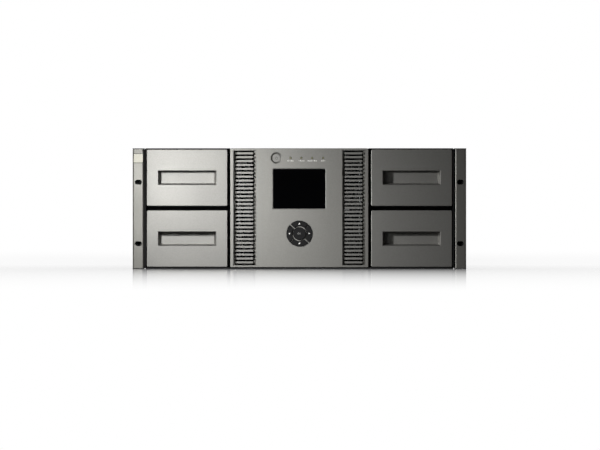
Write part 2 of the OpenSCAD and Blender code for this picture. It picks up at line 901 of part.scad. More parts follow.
module vent_grille(side) {
    mid = panel_mid_z;
    h = grille_h() - 2 * seat_gap;
    w = grille_w - 2 * seat_gap;
    first = mid - (slat_count - 1) * slat_pitch / 2;
    slot_x = slat_w / 2 + slat_slot;
    flange_h = panel_h - 2 * front_wall - 2 * seat_gap;
    color("#8f8d89") placed() translate([side * grille_x, 0, 0]) {
        difference() {
            union() {
                along_y(front_wall + seat_gap, grille_floor_d + grille_back_t) translate([0, mid])
                    square([w + 2 * grille_flange, flange_h], center = true);
                along_y(slat_inset, front_wall + cut) translate([0, mid])
                    square([w, h], center = true);
            }
            for (i = [0:slat_count])
                span([-slot_x, slot_x], [front_wall - cut, grille_floor_d + 2 * grille_back_t],
                    [first + (i - 1) * slat_pitch + slat_h / 2, first + i * slat_pitch - slat_h / 2]);
            along_y(0, grille_floor_d) translate([0, mid])
                square([w - 2 * grille_rim, h - 2 * grille_rim], center = true);
        }
        for (i = [0:slat_count - 1]) translate([0, 0, first + i * slat_pitch - slat_h / 2])
            linear_extrude(slat_h) slat_plan();
    }
}

// A slat seen from above: a blade that stands on the grille's floor, with sloped tips.
module slat_plan() {
    half = slat_w / 2;
    polygon([[slat_tip - half, slat_inset], [half - slat_tip, slat_inset],
        [half, slat_inset + slat_tip], [half, grille_floor_d + eps],
        [-half, grille_floor_d + eps], [-half, slat_inset + slat_tip]]);
}

module display_window() {
    color("#0c0d0f") placed() translate([0, 0, display_z]) along_y(window_inset, window_rebate)
        rounded(display_w - 2 * seat_gap, display_h - 2 * seat_gap, window_corner_r - seat_gap);
}

module display_module() {
    ledge = window_ledge + seat_gap;
    color("#3c4146") placed() translate([0, 0, display_z]) {
        along_y(window_rebate, front_wall + seat_gap + eps)
            rounded(display_w - 2 * ledge, display_h - 2 * ledge, window_corner_r);
        along_y(front_wall + seat_gap, board_d)
            square([display_w - 4 * window_ledge, display_h - window_ledge], center = true);
    }
}

module panel_board() {
    half = switch_w / 2;
    marks = concat([[0, 0]], [for (a = [0:90:270]) key_mark_r * [sin(a), cos(a)]]);
    color("#1f6b3a") placed() difference() {
        union() {
            along_y(board_d, board_d + board_t)
                translate([0, panel_mid_z + board_rise]) rounded(board_w, board_h, board_corner_r);
            for (p = marks) switch([p[0], keys_z + p[1]]);
            span([-power_x - half, half - power_x], [board_d - switch_h, board_d + eps],
                [status_z - half, status_z + power_switch_rise]);
            span([-plug_block_w / 2, plug_block_w / 2],
                [board_d + board_t - eps, board_d + board_t + plug_block_t], plug_block_z);
        }
        for (p = board_posts())
            bore_y(p[0], p[1], post_bore_r, board_d - cut, board_d + board_t + cut);
    }
}

// One push switch on the front of the board, round p as [across, height].
module switch(p) {
    half = switch_w / 2;
    span([p[0] - half, p[0] + half], [board_d - switch_h, board_d + eps],
        [p[1] - half, p[1] + half]);
}

module status_lights() {
    color("#3b4238") placed() for (i = [0:3]) translate([light_x + i * light_pitch, 0, status_z])
        rotate([-90, 0, 0]) rotate_extrude() {
            translate([0, light_r * 0.5]) square([light_r, board_d - light_r * 0.5]);
            intersection() {
                translate([0, light_r * 1.05]) circle(light_r * 1.12);
                square([light_r, light_r]);
            }
        }
}

module power_button() {
    stem_end = board_d - switch_h - power_travel - stem_gap;
    color("#a3a19d") placed() translate([-power_x, 0, status_z]) rotate([-90, 0, 0]) {
        cylinder(r = power_r, h = front_wall + seat_gap + eps);
        translate([0, 0, front_wall + seat_gap])
            cylinder(r = power_r + power_flange, h = key_flange_t);
        translate([0, 0, front_wall]) cylinder(r = stem_r, h = stem_end - front_wall);
    }
}

// One key of the cluster: its cap, the flange that keeps it in and its stem.
module key_body(stem) {
    translate([0, 0, keys_z]) {
        along_y(-key_proud, front_wall + seat_gap + eps) children(0);
        along_y(front_wall + seat_gap, front_wall + seat_gap + key_flange_t) children(1);
        translate([stem[0], 0, stem[1]])
            along_y(front_wall, board_d - switch_h - key_travel - stem_gap) circle(stem_r);
    }
}

module outer_key(angle) {
    color("#1b1b1c") placed() key_body(key_mark_r * [sin(angle), cos(angle)]) {
        rotate(-angle) ring_key(0);
        rotate(-angle) ring_key(key_flange);
    }
}

module key_up() { outer_key(0); }
module key_right() { outer_key(90); }
module key_down() { outer_key(180); }
module key_left() { outer_key(270); }

module key_middle() {
    color("#1b1b1c") placed() key_body([0, 0]) {
        circle(middle_key_r);
        circle(middle_key_r + key_flange);
    }
}

// ---------- magazines ----------

// The finger recess, grown by grow, drafted at its ends and floor, with a mouth flared by flare.
module grip_recess(grow, flare) {
    w = grip_w / 2 + grow;
    h = grip_h / 2 + grow;
    d = grip_d + grow;
    intersection() {
        along_z(-h - flare, h + flare) polygon([[-w - flare, -cut], [w + flare, -cut],
            [w + flare, 0], [w, flare], [w - grip_draft_x, d],
            [grip_draft_x - w, d], [-w, flare], [-w - flare, 0]]);
        along_x(-w - flare, w + flare) polygon([[-cut, -h - flare], [0, -h - flare], [flare, -h],
            [d, grip_draft_z - h], [d, h], [flare, h], [0, h + flare], [-cut, h + flare]]);
    }
}

module magazine_front(side, level) {
    mid_x = (magazine_x0 + magazine_x1) / 2;
    mid_z = magazine_z[level] + magazine_front_h / 2;
    color("#9a9894") placed() on_side(side) translate([mid_x, 0, mid_z]) difference() {
        union() {
            difference() {
                moulded_front(magazine_front_w, magazine_front_h, magazine_front_d);
                span([-1, 1] * (magazine_front_w / 2 - front_wall),
                    [front_wall, magazine_front_d + cut],
                    [-1, 1] * (magazine_front_h / 2 - front_wall));
            }
            intersection() {
                grip_recess(grip_wall, 0);
                span([-1, 1] * (magazine_front_w / 2 - 1), [1, magazine_front_d],
                    [-1, 1] * (magazine_front_h / 2 - 1));
            }
            for (x = [-1, 1], z = [-1, 1])
                bore_y(x * grip_boss_x, z * grip_boss_z, grip_boss_r, 1, magazine_front_d);
        }
        grip_recess(0, rim);
    }
}

// The cage drawn for the right side with its foot at z = 0, open towards the aisle.
module cage_body() {
    mid_x = (cage_x0 + cage_x1) / 2;
    difference() {
        span([cage_x0, cage_x1], [magazine_front_d, cage_d1], [0, cage_h]);
        span([cage_x0 - cut, cage_x1 - cage_wall], [magazine_front_d + 2, cells_start],
            [cell_wall, cage_h - cell_wall]);
        for (c = [0:columns - 1]) {
            d = cells_start + cell_wall + c * column_pitch;
            for (r = [0:rows - 1]) {
                z = cell_wall + r * row_pitch;
                translate([cage_x0 - cut, d, z]) cube([cell_l + cut, cell_w, cell_h]);
                translate([cage_x1 - cage_wall - cut, d + cage_slot_x, z + cage_slot_z])
                    cube([cage_wall + 2 * cut, cell_w - 2 * cage_slot_x, cell_h - 2 * cage_slot_z]);
            }
            translate([mid_x - cage_hole_w / 2, d + (cell_w - cage_hole_l) / 2, -cut])
                cube([cage_hole_w, cage_hole_l, cage_h + 2 * cut]);
        }
    }
}

module magazine_cage(side, level) {
    color("#242527") placed() on_side(side)
        translate([0, 0, magazine_z[level] + cage_lift]) cage_body();
}

// One cartridge with its label end towards the aisle, seated in the cell at the origin.
module cartridge() {
    w = cartridge_w;
    difference() {
        intersection() {
            span([0, cartridge_l], [0, w], [0, cartridge_t]);
            along_z(0, cartridge_t) translate([cartridge_l / 2, w / 2])
                rounded(cartridge_l, w, shell_corner_r);
            along_x(0, cartridge_l) translate([w / 2, cartridge_t / 2])
                rounded(w, cartridge_t, shell_edge_r);
        }
        span([-cut, label_d], [label_inset, w - label_inset], [label_rim, cartridge_t - label_rim]);
        for (y = [0, w])
            span(notch_x, [y - notch_d, y + notch_d], [-cut, cartridge_t + cut]);
        translate([cartridge_l / 2 + hub_offset, w / 2, -cut])
            cylinder(r = hub_hole_r, h = cut + hub_hole_d);
        span([cartridge_l - door_l, cartridge_l + cut], [w - door_y[1], w - door_y[0]],
            [cartridge_t / 2, cartridge_t + cut]);
    }
}

module cartridges(side, level) {
    color("#2f3338") placed() on_side(side)
        for (c = [0:columns - 1], r = [0:rows - 1])
            translate([cage_x0 + 1, cells_start + cell_wall + c * column_pitch
                + (cell_w - cartridge_w) / 2,
                magazine_z[level] + cage_lift + cell_wall + r * row_pitch]) cartridge();
}

// ---------- robot ----------

module aisle_rails() {
    color("#c9cacb") placed() both_sides() {
        span([ring_x - ring_bar + 0.2, rail_lip_x + rail_lip_t], [chassis_d0, mouth_d - sheet],
            [sheet, sheet + rail_foot_t]);
        span([rail_lip_x, rail_lip_x + rail_lip_t], [chassis_d0, mouth_d - sheet],
            [sheet, ring_z + ring_t]);
    }
}

// The toothed rail along the top of the aisle, in mesh with the carriage pinion.
module toothed_rail() {
    pitch = PI * gear_module;
    half = (pitch - backlash) / 4;
    mesh_y = home_d + motor_y;
    y0 = chassis_d0;
    y1 = back_wall_d + rack_overrun;
    first = ceil((y0 + dedendum - mesh_y) / pitch);
    last = floor((y1 - dedendum - mesh_y) / pitch);
    flanks = [[dedendum, -1], [-addendum, -1], [-addendum, 1], [dedendum, 1]];
    teeth = [for (i = [first:last - 1], f = flanks)
        [rack_pitch_x + f[0], mesh_y + (i + 0.5) * pitch + f[1] * (half + f[0] * tan(20))]];
    root_x = rack_pitch_x + dedendum;
    color("#d7d8d8") placed() translate([0, 0, gear_z]) linear_extrude(gear_t)
        polygon(concat([[root_x, y1], [step_x, y1], [step_x, y0], [root_x, y0]], teeth));
}

// Moves to the carriage's place at rest, the middle of the first column.
module at_home() {
    placed() translate([0, home_d, 0]) children();
}

// Places of the lift's rods (front) and screws (rear), as [x, y].
function rod_places(y) = [[-rod_x, y], [rod_x, y]];

module carriage_frame() {
    color("#b9bbbd") at_home() difference() {
        union() {
            difference() {
                carriage_plate(ring_z, ring_t);
                carriage_window(ring_z, ring_t);
            }
            difference() {
                carriage_plate(top_ring_z, top_ring_t);
                carriage_window(top_ring_z, top_ring_t);
            }
            both_sides() {
                span([ring_x - post_t, ring_x], [motor_y - rear_post_l, carriage_rear],
                    [ring_z, top_ring_z + top_ring_t]);
                span([ring_x - post_t, ring_x], [-carriage_front, front_post_l - carriage_front],
                    [ring_z, top_ring_z + top_ring_t]);
            }
            for (p = rod_places(-rod_y)) translate([p[0], p[1], ring_z])
                cylinder(r = rod_r, h = top_ring_z + top_ring_t - ring_z);
        }
        for (p = rod_places(rod_y)) translate([p[0], p[1], 0])
            cylinder(r = rod_r + bearing_gap, h = gear_z);
        for (x = [-motor_x, motor_x]) translate([x, motor_y, top_ring_z - cut])
            cylinder(r = shaft_r + shaft_clear, h = top_ring_t + 2 * cut);
    }
}

module carriage_plate(z, t) {
    span([-ring_x, ring_x], [-carriage_front, carriage_rear], [z, z + t]);
}

// The opening in a carriage plate that the lift and its load pass through.
module carriage_window(z, t) {
    x = ring_x - ring_bar;
    span([-x, x], [rod_clear - rod_y, rod_y - rod_clear], [z - cut, z + t + cut]);
    span([-window_x, window_x], [window_front - carriage_front, motor_y - window_rear],
        [z - cut, z + t + cut]);
}

module robot_motors() {
    color("#4a4c50") at_home() for (x = [-motor_x, motor_x]) difference() {
        translate([x, motor_y, top_ring_z - motor_l / 2])
            linear_extrude(motor_l, center = true)
                rounded(motor_size, motor_size, motor_corner_r);
        translate([x, motor_y, top_ring_z - motor_bore_l])
            cylinder(r = shaft_r + bearing_gap, h = motor_bore_l + cut);
    }
}

module motor_shaft() {
    translate([0, 0, top_ring_z - motor_shaft_l])
        cylinder(r = shaft_r, h = gear_z - top_ring_z + motor_shaft_l + eps);
}

module carriage_pinion() {
    color("#d9b25a") at_home() translate([motor_x, motor_y, 0]) {
        translate([0, 0, gear_z]) linear_extrude(gear_t)
            gear_outline(drive_pinion_teeth, pinion_phase);
        motor_shaft();
    }
}

module lift_pulley() {
    color("#c7c9cb") at_home() translate([-motor_x, motor_y, 0]) {
        translate([0, 0, gear_z]) cylinder(r = pulley_r, h = gear_t);
        motor_shaft();
    }
}

module lift_screw(side) {
    color("#cfd1d3") at_home() translate([side * rod_x, rod_y, 0]) {
        translate([0, 0, ring_z + screw_end_gap]) cylinder(r = rod_r, h = gear_z - ring_z);
        translate([0, 0, gear_z]) cylinder(r = pulley_r, h = gear_t);
    }
}

module belt_loop(r) {
    hull() {
        for (p = concat(rod_places(rod_y), [[-motor_x, motor_y]])) translate(p) circle(r, $fn = 40);
    }
}

module lift_belt() {
    color("#1d1d1e") at_home() translate([0, 0, gear_z + belt_inset])
        linear_extrude(gear_t - 2 * belt_inset)
        difference() {
            belt_loop(pulley_r + belt_gap + belt_t);
            belt_loop(pulley_r + belt_gap);
        }
}

module lift_platform() {
    wing = ring_x - ring_bar - slide_gap;
    color("#a8abae") at_home() difference() {
        union() {
            translate([0, 0, platform_z]) linear_extrude(platform_t) {
                circle(platform_r);
                for (y = [-1, 1]) translate([0, y * (web_y[0] - wing_overlap)])
                    square([2 * wing, 2 * (web_y[1] - web_y[0] + wing_overlap)], center = true);
            }
            both_sides() for (y = [-1, 1]) {
                translate([rod_x, y * rod_y, lug_z]) cylinder(r = lug_r, h = lug_h);
                lug_arm(y);
            }
            translate([0, 0, platform_z])
                cylinder(r = hub_r, h = turntable_z + turntable_t - platform_z);
            motor_bracket();
        }
        both_sides() for (y = [-1, 1]) translate([rod_x, y * rod_y, 0])
            cylinder(r = rod_r + bearing_gap, h = lug_z + lug_h + cut);
        for (a = [0:60:300]) rotate(a + 30) translate([platform_hole_x, 0, platform_z - cut])
            cylinder(r = platform_hole_r, h = platform_t + 2 * cut);
        rotate(turn_angle) translate([turn_centre, 0, platform_z + platform_t])
            cylinder(r = turn_pinion_r + pinion_clear, h = turntable_t + bracket_gap);
        rotate(turn_angle) translate([turn_centre, 0, 0])
            cylinder(r = shaft_r + bearing_gap, h = bracket_z + bracket_t + cut);
    }
}

// The upright web and the arm that join the platform to a lug beside its rod.
module lug_arm(y) {
    mirror([0, y < 0 ? 1 : 0, 0]) {
        span([rod_x - lug_arm_half, rod_x + lug_arm_half], web_y, [platform_z, lug_z + lug_h]);
        span([rod_x - lug_arm_half, rod_x + lug_arm_half], [web_y[0], rod_y],
            [lug_z, lug_z + lug_h]);
    }
}

// The plate over the turntable's pinion that carries its motor.
module motor_bracket() {
    p = turn_centre * [cos(turn_angle), sin(turn_angle)];
    translate([p[0], p[1], bracket_z]) cylinder(r = turn_motor_r, h = bracket_t);
    span([p[0], rod_x], [p[1] - bracket_half, p[1] + lug_arm_half],
        [bracket_z, bracket_z + bracket_t]);
}

module turntable() {
    color("#8f9398") at_home() translate([0, 0, turntable_z]) difference() {
        linear_extrude(turntable_t) rotate(turn_angle) gear_outline(turntable_teeth, 2);
        translate([0, 0, -cut]) cylinder(r = hub_r + bearing_gap, h = turntable_t + 2 * cut);
        for (a = [0:60:300]) rotate(a) translate([turntable_hole_x, 0, -cut])
            cylinder(r = turntable_hole_r, h = turntable_t + 2 * cut);
    }
}

module turntable_pinion() {
    gap = 180 / turn_pinion_teeth;
    p = turn_centre * [cos(turn_angle), sin(turn_angle)];
    color("#d9b25a") at_home() translate([p[0], p[1], turntable_z]) {
        linear_extrude(turntable_t) rotate(turn_angle + 180 + gap)
            gear_outline(turn_pinion_teeth, 3);
        translate([0, 0, turntable_t - eps]) cylinder(r = shaft_r, h = turn_shaft_l);
    }
}

module turntable_motor() {
    p = turn_centre * [cos(turn_angle), sin(turn_angle)];
    color("#4a4c50") at_home() translate([p[0], p[1], bracket_z + bracket_t]) difference() {
        cylinder(r = turn_motor_r, h = turn_motor_h);
        translate([0, 0, -cut]) cylinder(r = shaft_r + bearing_gap, h = turn_shaft_l - bracket_gap);
    }
}

module picker_tray() {
    color("#d3d4d4") at_home() translate([0, 0, tray_z]) difference() {
        union() {
            span([-tray_half_w, tray_half_w], [-tray_half_l, tray_half_l], [0, tray_floor_t]);
            both_sides() span([tray_half_w - tray_wall_t, tray_half_w],
                [-tray_half_l, tray_half_l], [0, tray_wall_h]);
            span([-tray_half_w, tray_half_w], [-tray_half_l, -tray_half_l + tray_wall_t],
                [0, tray_stop_h]);
        }
        both_sides() span([tray_half_w - tray_wall_t - cut, tray_half_w + cut],
            [tray_slot_inset - tray_half_l, tray_half_l - tray_slot_inset], tray_slot_z);
        span([-tray_hole_x, tray_hole_x], tray_hole_y, [-cut, tray_floor_t + cut]);
    }
}

module gripper() {
    y0 = tray_wall_t + grip_clear - tray_half_l;
    x = tray_half_w - tray_wall_t - grip_side_clear;
    z0 = tray_z + tray_floor_t + grip_clear;
    runner_z = [tray_z + tray_slot_z[0] + grip_clear, tray_z + tray_slot_z[1] - grip_clear];
    color("#36393d") at_home() {
        span([-x, x], [y0, y0 + grip_plate_t], [z0, z0 + grip_plate_h]);
        both_sides() {
            span([x - grip_claw_w, x], [y0, y0 + grip_claw_l], [z0, z0 + grip_claw_h]);
            span([x - eps, x + runner_reach], [y0 + runner_l[0], y0 + runner_l[1]], runner_z);
            span([x - runner_arm_t, x], [y0, y0 + runner_l[1]], runner_z);
        }
        span([-grip_pad_x, grip_pad_x], [y0 + grip_plate_t - eps, y0 + grip_plate_t + grip_pad_t],
            [z0 + grip_pad_z[0], z0 + grip_pad_z[1]]);
    }
}

module barcode_reader() {
    x1 = -tray_half_w;
    x0 = x1 - reader_w;
    color("#222325") at_home() difference() {
        span([x0, x1], reader_y, [tray_z + reader_z[0], tray_z + reader_z[1]]);
        span([x0 - cut, x0 + reader_window_d], [reader_y[0] + reader_rim, reader_y[1] - reader_rim],
            [tray_z + reader_z[0] + reader_rim, tray_z + reader_z[1] - reader_rim]);
    }
}

// ---------- rear ----------

// A sled and its drive are drawn with the sled's floor at z = 0.
module drive_sled(level) {
    half = drive_w / 2 + sled_clear;
    face_h = drive_z[1] - drive_z[0] - sled_face_gap;
    face_x = drive_open_x + sled_face_overlap;
    d0 = mouth_d + drive_gap;
    color("#c6c8ca") placed() translate([0, 0, drive_z[level]]) {
        difference() {
            union() {
                span([-half - sled_t, half + sled_t], [d0, rear_d + face_t], [0, sled_t]);
                both_sides() {
                    span([half, half + sled_t], [d0, rear_d + face_t], [0, drive_h]);
                    span([half, drive_open_x - slide_gap], [d0, rear_d - 2 * sheet],
                        [wing_z, wing_z + wing_t]);
                }
                span([-face_x, face_x], [rear_d + 2 * seat_gap, rear_d + face_t], [0, face_h]);
            }
            span([-sled_window_x, sled_window_x],
                [d0 + sled_window_end, mouth_d + drive_l - sled_window_end], [-cut, sled_t + cut]);
            for (i = [0:sled_vents - 1]) along_y(rear_d - cut, rear_d + face_t + cut)
                translate([(i - (sled_vents - 1) / 2) * sled_vent_pitch, sled_vent_z])
                    upright_slot(sled_vent_w, sled_vent_h);
            span(port_x, [rear_d - cut, rear_d + face_t + cut], port_z);
        }
        sled_handle();
        for (x = [thumb_inset - drive_open_x, drive_open_x - thumb_inset])
            bore_y(x, thumb_z, thumb_r, rear_d + face_t, rear_d + face_t + thumb_h);
    }
}

// The pull handle on a sled's face.
module sled_handle() {
    x0 = sled_handle_x;
    x1 = x0 + sled_handle_w;
    reach = rear_d + handle_reach;
    for (x = [x0, x1 - sled_handle_t])
        span([x, x + sled_handle_t], [rear_d + face_t - eps, reach], sled_handle_z);
    span([x0, x1], [reach - sled_handle_t, reach], sled_handle_z);
}

module tape_drive(level) {
    d0 = mouth_d + drive_gap;
    z0 = drive_h / 2 - mouth_rise;
    mouth_x = cartridge_w / 2 + cut;
    color("#3d4045") placed() translate([0, 0, drive_z[level] + sled_t]) difference() {
        span([-drive_w / 2, drive_w / 2], [d0, d0 + drive_l], [0, drive_h - sled_t]);
        span([-mouth_x, mouth_x], [d0 - cut, mouth_d + mouth_depth], [z0, z0 + cell_h + 1]);
        for (x = [-connector_x, 0, connector_x])
            span([x - connector_half, x + connector_half],
                [mouth_d + drive_l - connector_d, d0 + drive_l + cut], connector_z);
    }
}

module power_supply(level) {
    z0 = supply_z[level];
    fan_z = z0 + supply_h / 2;
    x0 = supply_x;
    color("#b3b5b7") placed() {
        difference() {
            span([x0, x0 + supply_w], [rear_d - supply_l, rear_d + face_t], [z0, z0 + supply_h]);
            bore_y(x0 + fan_x, fan_z, fan_r + fan_gap, rear_d - fan_well_d, rear_d - guard_d + cut);
            difference() {
                bore_y(x0 + fan_x, fan_z, fan_r + fan_gap, rear_d - guard_d, rear_d + 2 * face_t);
                for (r = [ring_pitch:ring_pitch:fan_r]) fan_ring(x0 + fan_x, fan_z, r);
                for (a = [45, 135]) translate([x0 + fan_x, 0, fan_z]) rotate([0, a, 0])
                    span([-fan_r - guard_d, fan_r + guard_d], [rear_d - spoke_d, rear_d + face_t],
                        [-spoke_half, spoke_half]);
            }
            span([x0 + inlet_x - inlet_w / 2, x0 + inlet_x + inlet_w / 2],
                [rear_d - inlet_d, rear_d + 2 * face_t], [z0 + inlet_z, z0 + inlet_z + inlet_h]);
            for (i = [-3:3]) along_y(rear_d - 10, rear_d + 2 * face_t)
                translate([x0 + inlet_x + i * supply_vent_pitch, z0 + supply_vent_z])
                    upright_slot(supply_vent_w, supply_vent_h);
        }
        bore_y(x0 + fan_x, fan_z, axle_r, rear_d - fan_well_d - eps, rear_d - fan_d - 0.5);
        span([x0 + inlet_x - inlet_w / 2 + inlet_wall, x0 + inlet_x + inlet_w / 2 - inlet_wall],
            [rear_d - inlet_d - eps, rear_d - 6],
            [z0 + inlet_z + inlet_wall + 1, z0 + inlet_z + inlet_h - inlet_wall - 1]);
        supply_handle(z0);
    }
}

// One wire ring of a fan guard.
module fan_ring(x, z, r) {
    translate([x, rear_d + face_t - wire_t, z]) rotate([-90, 0, 0]) difference() {
        cylinder(r = r + wire_t * 0.75, h = wire_t);
        translate([0, 0, -cut]) cylinder(r = r - wire_t * 0.75, h = wire_t + 2 * cut);
    }
}

module supply_handle(z0) {
    x = supply_x + supply_w - handle_inset;
    reach = rear_d + handle_reach;
    for (z = [z0 + handle_inset, z0 + supply_h - handle_inset - handle_t])
        span([x - handle_t, x + handle_t], [rear_d, reach], [z, z + handle_t]);
    span([x - handle_t, x + handle_t], [reach - handle_t, reach],
        [z0 + handle_inset, z0 + supply_h - handle_inset]);
}

module fan_rotor(level) {
    fan_z = supply_z[level] + supply_h / 2;
    color("#1f2021") placed() translate([supply_x + fan_x, rear_d - fan_d, fan_z])
        rotate([-90, 0, 0]) {
            cylinder(r = fan_hub_r, h = fan_t);
            intersection() {
                for (i = [0:fan_blades - 1]) rotate(i * 360 / fan_blades)
                    translate([fan_hub_r - 1, -1, 2]) rotate([fan_pitch, 0, 0])
                        cube([fan_r, blade_t, fan_t]);
                translate([0, 0, 1]) cylinder(r = fan_r, h = fan_t - 2);
            }
        }
}

module controller_module() {
    x0 = -supply_x - supply_w + controller_clear;
    x1 = -supply_x - controller_clear;
    z0 = sheet + slide_gap;
    d0 = rear_d - supply_l;
    port_d = [rear_d - controller_port_d, rear_d + face_t + cut];
    color("#c6c8ca") placed() {
        difference() {
            union() {
                span([x0, x1], [d0, rear_d + face_t], [z0, z0 + sled_t]);
                span([x0, x1], [rear_d - 0.5, rear_d + face_t], [z0, controller_h]);
                both_sides_of(x0, x1)
                    span([0, sled_t], [d0, rear_d], [z0, z0 + controller_side_h]);
            }
            for (i = [0:1]) span([x0 + network_x[i], x0 + network_x[i] + network_w], port_d,
                [z0 + network_z[0], z0 + network_z[1]]);
            span([x0 + serial_x[0], x0 + serial_x[1]], port_d, [z0 + serial_z[0], z0 + serial_z[1]]);
        }
        span([x0 + controller_board_inset, x1 - controller_board_inset],
            [d0 + controller_board_inset, rear_d - controller_board_end],
            [z0 + controller_board_z, z0 + controller_board_z + board_t]);
        for (x = [x0 + foot_inset, x1 - foot_inset - foot_w],
            d = [d0 + foot_inset, rear_d - controller_board_end - foot_inset])
            span([x, x + foot_w], [d, d + foot_w],
                [z0 + sled_t - eps, z0 + controller_board_z + eps]);
        for (x = [x0 + controller_thumb_inset, x1 - controller_thumb_inset])
            bore_y(x, z0 + controller_thumb_z, controller_thumb_r, rear_d + face_t,
                rear_d + face_t + controller_thumb_h);
    }
}

module both_sides_of(x0, x1) {
    translate([x0, 0, 0]) children();
    translate([x1, 0, 0]) mirror([1, 0, 0]) children();
}

// ---------- fasteners ----------

// A screw that points up, with the seat of its head at z = 0.
module screw() {
    cylinder(r = screw_r - seat_gap, h = screw_l);
    translate([0, 0, -screw_head_h]) cylinder(r = screw_head_r, h = screw_head_h);
}

// A short screw of the panel's board, pointing forwards.
module board_screw() {
    rotate([90, 0, 0]) {
        translate([0, 0, -board_screw_h]) cylinder(r = board_screw_head_r, h = board_screw_h);
        cylinder(r = board_screw_r, h = board_screw_h);
    }
}

module case_screws() {
    color("#d5d6d6") placed() {
        for (p = cover_screws()) translate([p[0], p[1], cover_top]) mirror([0, 0, 1]) screw();
        both_sides() for (z = ear_screw_z)
            translate([chassis_w / 2 + ear_flange_t, ear_screw_d, z]) rotate([0, -90, 0]) screw();
        for (p = board_posts()) translate([p[0], board_d + board_t, p[1]]) board_screw();
    }
}

// ---------- the assembly ----------

base_pan();
top_cover();
rear_panel();
front_frame();
bay_walls();
magazine_guides();
ear_brackets();
ear_cover(-1);  // ear_cover_left
ear_cover(1);  // ear_cover_right
front_panel();
vent_grille(-1);  // vent_grille_left
vent_grille(1);  // vent_grille_right
display_window();
display_module();
panel_board();
status_lights();
power_button();
key_up();
key_down();
key_left();
key_right();
key_middle();
magazine_front(-1, 0);  // magazine_front_lower_left
magazine_front(-1, 1);  // magazine_front_upper_left
magazine_front(1, 0);  // magazine_front_lower_right
magazine_front(1, 1);  // magazine_front_upper_right
magazine_cage(-1, 0);  // magazine_cage_lower_left
magazine_cage(-1, 1);  // magazine_cage_upper_left
magazine_cage(1, 0);  // magazine_cage_lower_right
magazine_cage(1, 1);  // magazine_cage_upper_right
cartridges(-1, 0);  // cartridges_lower_left
cartridges(-1, 1);  // cartridges_upper_left
cartridges(1, 0);  // cartridges_lower_right
cartridges(1, 1);  // cartridges_upper_right
aisle_rails();
toothed_rail();
carriage_frame();
robot_motors();
carriage_pinion();
lift_screw(-1);  // lift_screw_left
lift_screw(1);  // lift_screw_right
lift_pulley();
lift_belt();
lift_platform();
turntable();
turntable_motor();
turntable_pinion();
picker_tray();
gripper();
barcode_reader();
drive_sled(0);  // drive_sled_lower
drive_sled(1);  // drive_sled_upper
tape_drive(0);  // tape_drive_lower
tape_drive(1);  // tape_drive_upper
power_supply(0);  // power_supply_lower
power_supply(1);  // power_supply_upper
fan_rotor(0);  // fan_rotor_lower
fan_rotor(1);  // fan_rotor_upper
controller_module();
case_screws();
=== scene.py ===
"""Looks of a rack-mount data tape library: its finishes, small details and the studio round it.

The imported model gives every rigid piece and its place. This script dresses those pieces with
procedural materials and adds what is too fine for them: printed marks, screw heads, threads,
cartridge labels, socket contacts, a drive seal, and the plate, strips and nuts of the ears.
Lengths are millimetres times MM, which gives metres.
"""

import json
import logging
import math
from dataclasses import dataclass
from enum import Enum
from typing import Any, Callable, Mapping, Sequence

import bmesh
import bpy
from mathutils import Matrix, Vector


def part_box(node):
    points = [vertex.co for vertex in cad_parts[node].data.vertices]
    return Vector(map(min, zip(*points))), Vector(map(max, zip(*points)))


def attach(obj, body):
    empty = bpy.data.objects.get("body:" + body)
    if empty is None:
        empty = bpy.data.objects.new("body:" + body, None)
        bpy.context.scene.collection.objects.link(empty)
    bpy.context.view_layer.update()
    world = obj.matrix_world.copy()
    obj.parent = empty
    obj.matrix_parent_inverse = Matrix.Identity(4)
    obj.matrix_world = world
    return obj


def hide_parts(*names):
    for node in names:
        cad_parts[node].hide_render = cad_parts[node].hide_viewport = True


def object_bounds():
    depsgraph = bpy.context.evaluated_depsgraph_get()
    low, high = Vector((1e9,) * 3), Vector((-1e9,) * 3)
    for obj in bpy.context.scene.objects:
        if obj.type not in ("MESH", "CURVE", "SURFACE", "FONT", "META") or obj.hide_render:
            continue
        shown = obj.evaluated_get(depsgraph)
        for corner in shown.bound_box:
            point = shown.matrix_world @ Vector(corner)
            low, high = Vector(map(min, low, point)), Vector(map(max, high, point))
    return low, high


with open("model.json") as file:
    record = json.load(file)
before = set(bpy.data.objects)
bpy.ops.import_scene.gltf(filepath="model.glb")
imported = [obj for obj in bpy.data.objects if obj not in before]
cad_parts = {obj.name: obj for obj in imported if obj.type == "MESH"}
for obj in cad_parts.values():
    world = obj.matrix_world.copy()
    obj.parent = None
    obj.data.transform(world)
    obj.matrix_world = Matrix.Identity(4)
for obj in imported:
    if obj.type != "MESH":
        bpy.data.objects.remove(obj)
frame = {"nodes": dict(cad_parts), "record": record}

CAD_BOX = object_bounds()
MM = 0.001
# The inputs of a Map Range node, in their order.
RANGE = ("Value", "From Min", "From Max", "To Min", "To Max")
# The values of a noise between which the colour and the roughness of a finish change.
COLOUR_BAND = (0.35, 0.75)
GLOSS_BAND = (0.3, 0.7)
log = logging.getLogger("tape_library")

Pair = tuple[float, float]
Triple = tuple[float, float, float]
Bmesh = bmesh.types.BMesh
Loop = Sequence[bmesh.types.BMVert]
Tree = bpy.types.NodeTree
Socket = bpy.types.NodeSocket


# ---------------------------------------------------------------- small helpers


def linear(hex_code: str) -> tuple[float, float, float, float]:
    """Turns an sRGB colour into the linear one that a shader needs.

    Args:
        hex_code: the colour as "#rrggbb".

    Returns:
        Linear red, green and blue, and an alpha of 1.
    """
    parts = [int(hex_code[i : i + 2], 16) / 255 for i in (1, 3, 5)]
    values = [c / 12.92 if c <= 0.04045 else ((c + 0.055) / 1.055) ** 2.4 for c in parts]
    return values[0], values[1], values[2], 1.0


